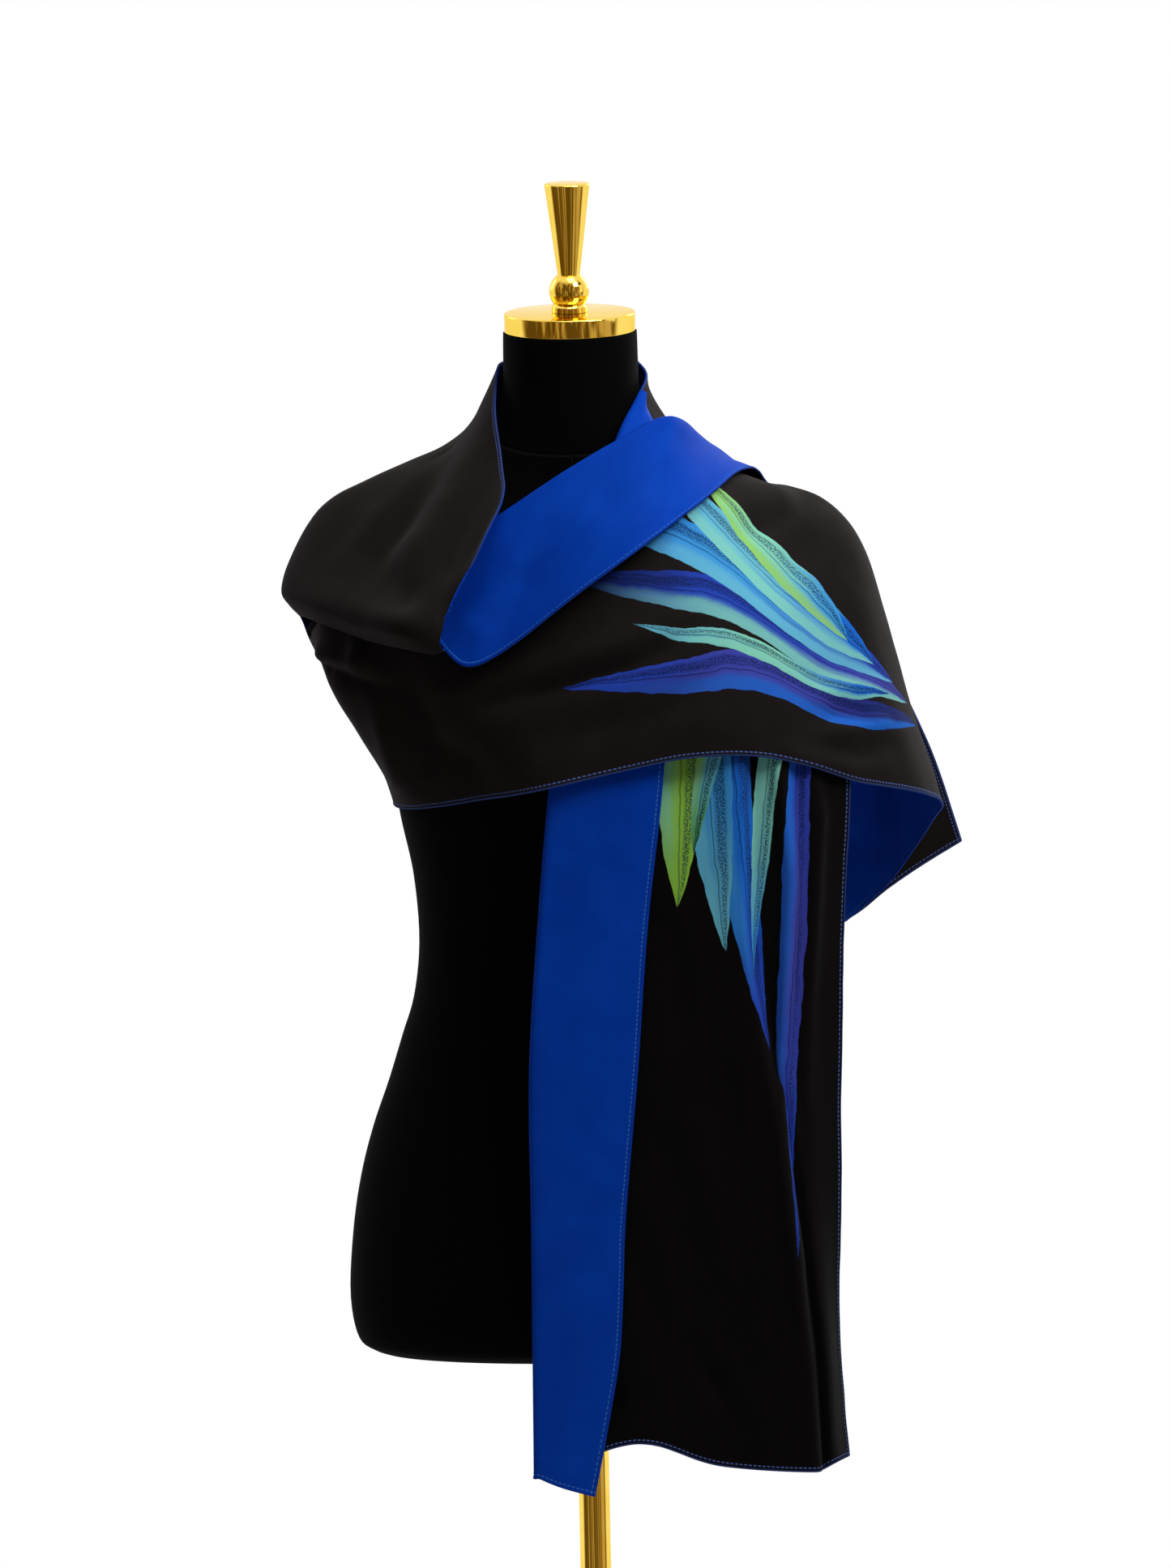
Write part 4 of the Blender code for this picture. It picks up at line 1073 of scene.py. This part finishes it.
def finial_profile():
    waist_angle = math.degrees(math.acos(FINIAL_WAIST_RADIUS / FINIAL_BALL_RADIUS))
    foot_angle = -math.degrees(math.acos(FINIAL_FOOT_NECK / FINIAL_BALL_RADIUS))
    centre = (0.0, FINIAL_BALL_CENTRE)
    ball = arc(centre, FINIAL_BALL_RADIUS, waist_angle, foot_angle, BALL_STEPS)
    foot = [(FINIAL_FOOT_RADIUS, FINIAL_FOOT_HEIGHT), (FINIAL_FOOT_RADIUS, 0.0), (0.0, 0.0)]
    return round_top(FINIAL_TOP_RADIUS, FINIAL_HEIGHT, FINIAL_EDGE) + ball + foot


def base_profile():
    bore = POLE_RADIUS + SEAT_GAP
    edge_centre = (BASE_RADIUS - BASE_EDGE, BASE_HEIGHT - BASE_EDGE)
    return [
        (bore, SOCKET_FLOOR), (bore, SOCKET_HEIGHT),
        (SOCKET_RADIUS - SOCKET_CHAMFER, SOCKET_HEIGHT),
        (SOCKET_RADIUS, SOCKET_HEIGHT - SOCKET_CHAMFER), (SOCKET_RADIUS, SOCKET_FLOOR),
        (SOCKET_RADIUS + SOCKET_FLARE, BASE_HEIGHT),
        *arc(edge_centre, BASE_EDGE, 90, 0, EDGE_STEPS),
        (BASE_RADIUS, 0.0), (0.0, 0.0),
    ]


def pole_profile():
    top, bottom = TORSO_BOTTOM - SEAT_GAP, SOCKET_FLOOR + SEAT_GAP
    return [(0.0, top), (POLE_RADIUS, top), (POLE_RADIUS, bottom), (0.0, bottom)]


# Materials

# The share of its width over which a soft line is full
LINE_CORE = 0.35


class Nodes:
    """Short ways to add nodes to a tree. A value is a socket, or a number or colour."""

    def __init__(self, tree):
        self.tree = tree

    def add(self, kind, values=(), **settings):
        node = self.tree.nodes.new(kind)
        for name, value in settings.items():
            setattr(node, name, value)
        for key, value in values:
            self.join(value, node.inputs[key])
        return node

    def join(self, value, socket):
        if isinstance(value, bpy.types.NodeSocket):
            self.tree.links.new(value, socket)
        else:
            socket.default_value = value

    def math(self, operation, *values):
        return self.add("ShaderNodeMath", list(enumerate(values)), operation=operation).outputs[0]

    def plus(self, first, second):
        return self.math("ADD", first, second)

    def minus(self, first, second):
        return self.math("SUBTRACT", first, second)

    def times(self, first, second):
        return self.math("MULTIPLY", first, second)

    def step(self, value, low, high):
        """Runs softly from 0 at `low` to 1 at `high`, which may be the lower of the two."""
        if low > high:
            return self.minus(1.0, self.step(value, high, low))
        keys = (("Value", value), ("From Min", low), ("From Max", high))
        return self.add("ShaderNodeMapRange", keys, interpolation_type="SMOOTHSTEP").outputs[0]

    def near(self, value, place, width):
        """1 where the value is at the place, and 0 from the width on."""
        away = self.math("ABSOLUTE", self.minus(value, place))
        return self.step(away, width, width * LINE_CORE)

    def mix(self, share, first, second):
        values = ((0, share), (6, first), (7, second))
        return self.add("ShaderNodeMix", values, data_type="RGBA").outputs[2]

    def vector(self, x, y, z=0.0):
        return self.add("ShaderNodeCombineXYZ", ((0, x), (1, y), (2, z))).outputs[0]

    def noise(self, vector, scale, detail=2.0, roughness=0.5):
        keys = (("Vector", vector), ("Scale", scale), ("Detail", detail), ("Roughness", roughness))
        return self.add("ShaderNodeTexNoise", keys).outputs["Fac"]

    def split(self, vector):
        return self.add("ShaderNodeSeparateXYZ", ((0, vector),)).outputs

    def uv(self, name):
        """The two numbers of a UV map, in metres."""
        numbers = self.split(self.add("ShaderNodeUVMap", uv_map=name).outputs[0])
        return numbers[0], numbers[1]

    def place(self, kind="Object"):
        """A built-in coordinate, whole and as its X, Y and Z."""
        whole = self.add("ShaderNodeTexCoord").outputs[kind]
        return whole, self.split(whole)

    def bump(self, height, strength, distance, below=None):
        keys = [("Height", height), ("Strength", strength), ("Distance", distance)]
        if below is not None:
            keys.append(("Normal", below))
        return self.add("ShaderNodeBump", keys).outputs["Normal"]


def colour(red, green, blue):
    return (red, green, blue, 1.0)


SHEEN_ROUGHNESS = 0.45


def new_finish(name, roughness, specular, sheen=0.0, metallic=0.0):
    """A material with its plain numbers set on the shader itself."""
    finish = bpy.data.materials.new(name)
    finish.use_nodes = True
    shader = finish.node_tree.nodes["Principled BSDF"]
    shader.inputs["Roughness"].default_value = roughness
    shader.inputs["Specular IOR Level"].default_value = specular
    shader.inputs["Sheen Weight"].default_value = sheen
    shader.inputs["Sheen Roughness"].default_value = SHEEN_ROUGHNESS
    shader.inputs["Metallic"].default_value = metallic
    return finish, Nodes(finish.node_tree), shader


# The running stitch and the twill, in metres
THREAD_PITCH = 0.0034
THREAD_SHARE = 0.64
THREAD_SOFTNESS = 0.07
THREAD_REACH = 0.00072
EDGE_LINE = (0.0007, 0.0001)
YARN = 0.00046
YARN_DEPTH = 0.00006
STITCH_BUMP = (0.6, 0.0004)


def stitches(nodes):
    """Where the running stitches lie beside the hems, and where the very edge is."""
    lines = []
    edges = []
    for name in ("long_hem", "short_hem"):
        distance, run = nodes.uv(name)
        dash = nodes.math("FRACT", nodes.math("DIVIDE", run, THREAD_PITCH))
        from_middle = nodes.math("ABSOLUTE", nodes.minus(dash, 0.5))
        end = THREAD_SHARE / 2
        shown = nodes.step(from_middle, end + THREAD_SOFTNESS, end - THREAD_SOFTNESS)
        line = nodes.near(distance, STITCH_PLACE * MM, THREAD_REACH)
        lines.append(nodes.times(line, shown))
        edges.append(nodes.step(distance, *EDGE_LINE))
    return nodes.math("MAXIMUM", *lines), nodes.math("MAXIMUM", *edges)


def weave(nodes, across, along):
    """The height of a fine twill."""
    turn = math.tau / YARN
    rib = nodes.math("SINE", nodes.times(nodes.plus(across, along), turn * 0.5))
    warp = nodes.math("SINE", nodes.times(across, turn))
    weft = nodes.math("SINE", nodes.times(along, turn * 0.85))
    return nodes.plus(rib, nodes.times(warp, weft))


LEAF_NUMBERS = (
    "Across", "Along", "Base across", "Base along", "Cos", "Sin", "Length", "Width", "Bend",
)
LEAF_TONES = ("Base tone", "Middle tone", "Tip tone", "Light tone")


def leaf_group():
    """A node group that paints one long leaf over a colour, with brush streaks along it."""
    group = bpy.data.node_groups.new("leaf_blade", "ShaderNodeTree")
    for name in LEAF_NUMBERS:
        group.interface.new_socket(name, in_out="INPUT", socket_type="NodeSocketFloat")
    for name in ("Under",) + LEAF_TONES:
        group.interface.new_socket(name, in_out="INPUT", socket_type="NodeSocketColor")
    group.interface.new_socket("Colour", in_out="OUTPUT", socket_type="NodeSocketColor")
    nodes = Nodes(group)
    plus, minus, times = nodes.plus, nodes.minus, nodes.times
    given = nodes.add("NodeGroupInput").outputs
    du = minus(given["Across"], given["Base across"])
    dv = minus(given["Along"], given["Base along"])
    forward = plus(times(du, given["Cos"]), times(dv, given["Sin"]))
    aside = minus(times(dv, given["Cos"]), times(du, given["Sin"]))
    share = nodes.math("DIVIDE", forward, given["Length"])
    inside = times(share, minus(1.0, share))
    aside = minus(aside, times(given["Bend"], inside))
    cloth = nodes.vector(given["Across"], given["Along"])
    aside = plus(aside, times(minus(nodes.noise(cloth, 55.0, 3.0), 0.5), 0.004))

    # The outline is widest below the middle of the length and pointed at both ends
    rounded = nodes.math("POWER", nodes.math("MAXIMUM", times(inside, 4.0), 0.0), 0.8)
    slant = minus(1.25, times(share, 0.5))
    half = times(given["Width"], times(rounded, slant))
    mask = nodes.step(minus(half, nodes.math("ABSOLUTE", aside)), 0.0, 0.0006)
    side = nodes.math("DIVIDE", aside, nodes.math("MAXIMUM", half, 0.0005))

    # Tones run into one another along the leaf, in streaks
    brushed = nodes.vector(times(forward, 11.0), times(aside, 260.0))
    streak = nodes.noise(brushed, 1.0, 3.0, 0.6)
    grain = nodes.noise(cloth, 900.0, 2.0, 0.6)
    flow = plus(share, times(minus(streak, 0.5), 0.55))
    tone = nodes.mix(nodes.step(flow, 0.12, 0.5), given["Base tone"], given["Middle tone"])
    tone = nodes.mix(nodes.step(flow, 0.5, 0.92), tone, given["Tip tone"])
    lit = times(nodes.step(plus(side, times(streak, 0.5)), 0.25, 0.85), 0.75)
    tone = nodes.mix(times(lit, nodes.step(share, 0.95, 0.5)), tone, given["Light tone"])

    # A speckled dark band along one half, the rib, and a darker grain all over
    dark = colour(0.006, 0.012, 0.06)
    speckle = nodes.step(plus(grain, times(streak, 0.35)), 0.56, 0.76)
    band = nodes.near(side, -0.45, 0.36)
    tone = nodes.mix(times(times(band, speckle), 0.85), tone, dark)
    rib = nodes.step(nodes.math("ABSOLUTE", aside), 0.0009, 0.0003)
    tone = nodes.mix(times(rib, 0.55), tone, dark)
    tone = nodes.mix(times(minus(grain, 0.25), 0.28), tone, colour(0.0, 0.01, 0.05))
    nodes.add("NodeGroupOutput", ((0, nodes.mix(mask, given["Under"], tone)),))
    return group


LIME = (0.30, 0.62, 0.055)
MOSS = (0.10, 0.36, 0.12)
MINT = (0.24, 0.66, 0.50)
AQUA = (0.15, 0.52, 0.66)
SKY = (0.05, 0.32, 0.72)
AZURE = (0.012, 0.15, 0.66)
COBALT = (0.02, 0.06, 0.46)
INDIGO = (0.055, 0.065, 0.42)
NAVY = (0.012, 0.022, 0.16)

# The printed sprays, a leaf in each row, in metres on the cloth: its base and its tip (across
# from the fold, along), half of its width, how much it bends, and its tones from base to tip
# with that of its light half
LEAVES = (
    ((0.262, 7.535), (0.150, 7.225), 0.0150, 0.060, (NAVY, INDIGO, COBALT, AZURE)),
    ((0.245, 7.530), (0.070, 7.238), 0.0165, 0.050, (INDIGO, COBALT, NAVY, MINT)),
    ((0.228, 7.512), (0.030, 7.262), 0.0190, 0.030, (COBALT, SKY, AZURE, AQUA)),
    ((0.212, 7.492), (0.020, 7.318), 0.0200, 0.010, (AZURE, AQUA, SKY, MINT)),
    ((0.190, 7.470), (0.030, 7.372), 0.0150, -0.020, (SKY, MINT, LIME, LIME)),
    ((0.236, 7.500), (0.140, 7.285), 0.0080, 0.070, (AZURE, MINT, AQUA, MINT)),
    ((0.186, 1.190), (0.196, 1.655), 0.0105, -0.030, (COBALT, INDIGO, COBALT, AZURE)),
    ((0.120, 1.180), (0.182, 1.500), 0.0180, 0.020, (NAVY, AZURE, COBALT, SKY)),
    ((0.168, 1.185), (0.166, 1.445), 0.0085, -0.010, (AQUA, MINT, SKY, MINT)),
    ((0.104, 1.190), (0.142, 1.425), 0.0170, 0.010, (AZURE, SKY, AQUA, AQUA)),
    ((0.086, 1.200), (0.104, 1.392), 0.0180, -0.010, (MOSS, LIME, LIME, MINT)),
    ((0.128, 1.215), (0.112, 1.352), 0.0090, 0.012, (MINT, AQUA, MOSS, LIME)),
)


# How far along the cloth the painted shade of the hanging end reaches, in metres
PAINTED_SHADE_END = 2.4
PAINTED_SHADE_BLEND = 0.2


def printed(nodes, ground, across, along):
    """Painted shade, a near-black over the hanging end where the light falls off downward, and the
    sprays painted leaf after leaf.
    """
    hanging = nodes.step(along, PAINTED_SHADE_END, PAINTED_SHADE_END - PAINTED_SHADE_BLEND)
    # painted shade: the hanging end's ground darkened towards near-black, standing in for the light
    # falling off downward
    tone = nodes.mix(nodes.times(hanging, 0.8), ground, colour(0.0010, 0.0008, 0.0008))
    group = leaf_group()
    for base, tip, width, bend, tones in LEAVES:
        run = (tip[0] - base[0], tip[1] - base[1])
        length = math.hypot(*run)
        numbers = (across, along, *base, run[0] / length, run[1] / length, length, width, bend)
        values = [*zip(LEAF_NUMBERS, numbers), ("Under", tone)]
        values += [(name, colour(*value)) for name, value in zip(LEAF_TONES, tones)]
        tone = nodes.add("ShaderNodeGroup", values, node_tree=group).outputs[0]
    return tone


# The two cloths: roughness, specular and sheen; how fine the grain and the clouds are, and the
# grain's share in the shade; the tones it runs between; the tone of the very edge and of the
# thread; how the grain changes the roughness; how high the twill and the nap stand
FACE_LOOK = {
    "shader": (0.78, 0.035, 0.03), "grain": 1300.0, "clouds": 34.0, "grain_share": 0.7,
    "shade": (0.28, 0.74), "dark": (0.0074, 0.0055, 0.0053), "light": (0.0146, 0.0112, 0.0109),
    "edge_share": 0.9, "edge": (0.030, 0.055, 0.19), "thread": (0.08, 0.13, 0.38),
    "rough": (0.70, 0.16), "twill": 0.22, "nap": (0.30, 0.00025),
}
LINING_LOOK = {
    "shader": (0.6, 0.025, 0.004), "grain": 1100.0, "clouds": 26.0, "grain_share": 0.65,
    "shade": (0.26, 0.76), "dark": (0.0010, 0.036, 0.36), "light": (0.0022, 0.062, 0.50),
    "edge_share": 0.4, "edge": (0.004, 0.02, 0.20), "thread": (0.05, 0.17, 0.62),
    "rough": (0.52, 0.18), "twill": 0.2, "nap": (0.25, 0.0002),
}


def cloth_finish(name, look, paint=None):
    """Twill with a nap and a running stitch. `paint` adds what is printed on its ground, and any
    painted shade.
    """
    finish, nodes, shader = new_finish(name, *look["shader"])
    across, along = nodes.uv("cloth")
    cloth = nodes.vector(across, along)
    grain = nodes.noise(cloth, look["grain"], 2.0, 0.7)
    clouds = nodes.noise(cloth, look["clouds"], 3.0, 0.55)
    share = look["grain_share"]
    shade = nodes.step(nodes.plus(nodes.times(grain, share), nodes.times(clouds, 1 - share)),
                       *look["shade"])
    tone = nodes.mix(shade, colour(*look["dark"]), colour(*look["light"]))
    if paint:
        tone = paint(nodes, tone, across, along)
    stitch, edge = stitches(nodes)
    tone = nodes.mix(nodes.times(edge, look["edge_share"]), tone, colour(*look["edge"]))
    tone = nodes.mix(stitch, tone, colour(*look["thread"]))
    nodes.join(tone, shader.inputs["Base Color"])
    smooth_part, grain_part = look["rough"]
    rough = nodes.plus(smooth_part, nodes.times(grain, grain_part))
    nodes.join(rough, shader.inputs["Roughness"])
    fine = nodes.bump(weave(nodes, across, along), look["twill"], YARN_DEPTH)
    nap = nodes.bump(grain, *look["nap"], fine)
    nodes.join(nodes.bump(stitch, *STITCH_BUMP, nap), shader.inputs["Normal"])
    return finish


# The ring seam lies where Z less a share of Y is at this height, in metres
NECK_SEAM = 1.430
NECK_SEAM_SLOPE = 0.42
SEAM_HALF = 0.0011
SEAM_END = 0.001


def form_finish():
    """Matte black jersey with a seam round the neck and one down the front."""
    finish, nodes, shader = new_finish("form_jersey", 0.85, 0.02, sheen=0.012)
    place, (x, y, z) = nodes.place()
    grain = nodes.noise(place, 1500.0, 2.0, 0.7)
    lint = nodes.step(nodes.noise(place, 330.0, 1.0, 0.4), 0.79, 0.83)
    ring = nodes.minus(z, nodes.times(y, NECK_SEAM_SLOPE))
    round_neck = nodes.near(ring, NECK_SEAM, SEAM_HALF * 1.6)
    below = nodes.step(ring, NECK_SEAM + SEAM_END, NECK_SEAM - SEAM_END)
    middle = nodes.times(nodes.near(x, 0.0, SEAM_HALF), below)
    seam = nodes.math("MAXIMUM", round_neck, middle)
    tone = nodes.mix(nodes.step(grain, 0.3, 0.72), colour(0.0009, 0.0009, 0.0010),
                     colour(0.0027, 0.0026, 0.0026))
    tone = nodes.mix(nodes.times(lint, 0.3), tone, colour(0.02, 0.019, 0.018))
    tone = nodes.mix(nodes.times(seam, 0.75), tone, colour(0.0065, 0.0062, 0.0060))
    nodes.join(tone, shader.inputs["Base Color"])
    knit = nodes.bump(grain, 0.35, 0.0003)
    sewn = nodes.bump(nodes.minus(1.0, seam), 0.7, 0.0012, knit)
    nodes.join(sewn, shader.inputs["Normal"])
    return finish


def gold_finish():
    """Polished yellow plating with faint smears and turning marks."""
    finish, nodes, shader = new_finish("polished_gold", 0.07, 0.5, metallic=1.0)
    shader.inputs["Specular Tint"].default_value = colour(0.96, 0.84, 0.52)
    place, (_, _, z) = nodes.place()
    smear = nodes.noise(place, 38.0, 3.0, 0.55)
    turned = nodes.noise(nodes.vector(nodes.times(z, 2600.0), 0.0), 1.0, 2.0)
    tone = nodes.mix(nodes.step(smear, 0.3, 0.75), colour(0.86, 0.60, 0.09),
                     colour(0.91, 0.67, 0.14))
    nodes.join(tone, shader.inputs["Base Color"])
    rough = nodes.plus(0.035, nodes.times(nodes.step(smear, 0.35, 0.8), 0.075))
    nodes.join(rough, shader.inputs["Roughness"])
    nodes.join(nodes.bump(turned, 0.05, 0.00005), shader.inputs["Normal"])
    return finish


def floor_finish():
    """Pale matte studio paper."""
    finish, nodes, shader = new_finish("studio_floor", 0.7, 0.2)
    clouds = nodes.noise(nodes.place()[0], 6.0, 3.0)
    tone = nodes.mix(clouds, colour(0.80, 0.80, 0.80), colour(0.86, 0.86, 0.855))
    nodes.join(tone, shader.inputs["Base Color"])
    shader.inputs["Emission Color"].default_value = colour(1.0, 1.0, 1.0)
    shader.inputs["Emission Strength"].default_value = 0.28
    return finish


# Camera, floor and light


CAMERA_PLACE = Vector((0.005, -5.0, 1.420))
CAMERA_AIM = Vector((0.0046, 0.0, 1.1575))
CAMERA_ROLL = math.radians(-1.2)
CAMERA_LENS = 151.8
SENSOR_WIDTH = 36.0
FLOOR_RADIUS = 2.4
FLOOR_LEVEL = -0.0005
AMBIENT = 0.045

# The lights: a name, the place, the point that it faces, its width and height, its power
LIGHTS = (
    ("key", (0.95, -0.95, 2.45), (0.05, 0.0, 1.25), (0.7, 0.7), 19),
    ("top", (0.25, -0.5, 2.9), (0.05, 0.0, 1.25), (0.9, 0.9), 12),
    ("side", (1.9, -0.5, 1.9), (0.1, 0.0, 1.2), (0.8, 1.2), 3),
    ("back_left", (-1.7, 1.2, 2.3), (0.0, 0.0, 1.25), (0.9, 1.2), 8),
    ("back_right", (1.3, 1.7, 2.3), (0.0, 0.0, 1.25), (0.9, 1.2), 20),
)


def add_camera():
    data = bpy.data.cameras.new("camera")
    data.lens = CAMERA_LENS
    data.sensor_width = SENSOR_WIDTH
    camera = bpy.data.objects.new("camera", data)
    turn = (CAMERA_AIM - CAMERA_PLACE).to_track_quat("-Z", "Y").to_matrix().to_4x4()
    roll = Matrix.Rotation(CAMERA_ROLL, 4, "Z")
    camera.matrix_world = Matrix.Translation(CAMERA_PLACE) @ turn @ roll
    bpy.context.scene.collection.objects.link(camera)
    bpy.context.scene.camera = camera


def add_floor():
    bpy.ops.mesh.primitive_circle_add(
        vertices=96, radius=FLOOR_RADIUS, fill_type="NGON", location=(0, 0, FLOOR_LEVEL))
    floor = bpy.context.object
    floor.name = "floor"
    floor.data.materials.append(floor_finish())


def area_light(name, place, aim, size, power):
    data = bpy.data.lights.new(name, "AREA")
    data.shape = "RECTANGLE"
    data.size, data.size_y = size
    data.energy = power
    light = bpy.data.objects.new(name, data)
    light.location = place
    light.rotation_euler = (Vector(aim) - Vector(place)).to_track_quat("-Z", "Y").to_euler()
    bpy.context.scene.collection.objects.link(light)


def studio_world():
    """White round the form, dimmer as a light than it looks, with dark gaps for the gold."""
    world = bpy.data.worlds.new("studio")
    world.use_nodes = True
    nodes = Nodes(world.node_tree)
    minus, times = nodes.minus, nodes.times
    _, (x, y, z) = nodes.place("Generated")
    room = nodes.noise(nodes.vector(times(x, 6.5), times(y, 2.0), times(z, 1.1)), 1.0)
    streak = nodes.step(room, 0.47, 0.66)
    frontward = times(nodes.step(y, 0.12, -0.12), nodes.step(z, 0.85, 0.5))
    dark = times(frontward, minus(1.0, times(streak, 0.5)))
    mirrored = minus(1.1, times(dark, 0.97))
    path = nodes.add("ShaderNodeLightPath").outputs
    warm = times(times(dark, path["Is Glossy Ray"]), 0.95)
    strength = AMBIENT
    for ray, value in ((path["Is Glossy Ray"], mirrored), (path["Is Camera Ray"], 1.0)):
        strength = nodes.plus(times(strength, minus(1.0, ray)), times(ray, value))
    back = world.node_tree.nodes["Background"]
    tone = nodes.mix(warm, colour(1.0, 1.0, 1.0), colour(1.0, 0.60, 0.14))
    nodes.join(tone, back.inputs["Color"])
    nodes.join(strength, back.inputs["Strength"])
    return world


def add_light():
    for light in LIGHTS:
        area_light(*light)
    bpy.context.scene.world = studio_world()
    bpy.context.scene.view_settings.view_transform = "Standard"


# The cloth's parts in the solids, which the black face and the lining replace
CLOTH_NODES = (
    "front_end", "left_shoulder", "back_stretch", "cowl", "chest_stretch", "thrown_end",
)


def add_pieces():
    """Makes the dressed form, hangs each piece on the root and hides the solids that it replaces.
    """
    body = tree_of(*closed_torso(TORSO_STEPS, ROUND_STEPS))
    form, fine_body = fine_torso(form_finish())
    shell = dressed_shell(body, fine_body)
    face_finish = cloth_finish("shawl_face_cloth", FACE_LOOK, printed)
    face = shell.build("shawl_face", face_finish, 1)
    lining_finish = cloth_finish("shawl_lining_cloth", LINING_LOOK)
    lining = shell.build("shawl_lining", lining_finish, -1)
    gold = gold_finish()
    cap = lathe("cap_plate", cap_profile(), gold)
    seat_on_neck(cap, SEAT_GAP)
    finial = lathe("finial_turned", finial_profile(), gold)
    seat_on_neck(finial, SEAT_GAP + CAP_HEIGHT + SEAT_GAP)
    pole = lathe("pole_tube", pole_profile(), gold)
    base = lathe("base_plate", base_profile(), gold)

    replaced = (
        (face, "shawl_cloth", CLOTH_NODES),
        (lining, "shawl_cloth", CLOTH_NODES),
        (form, "form_cover", ("torso",)),
        (cap, "polished_brass", ("neck_cap",)),
        (finial, "polished_brass", ("finial",)),
        (pole, "polished_brass", ("pole",)),
        (base, "polished_brass", ("base",)),
    )
    for piece, slot, nodes in replaced:
        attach(piece, "root")
        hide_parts(*nodes)


add_pieces()
add_camera()
add_floor()
add_light()
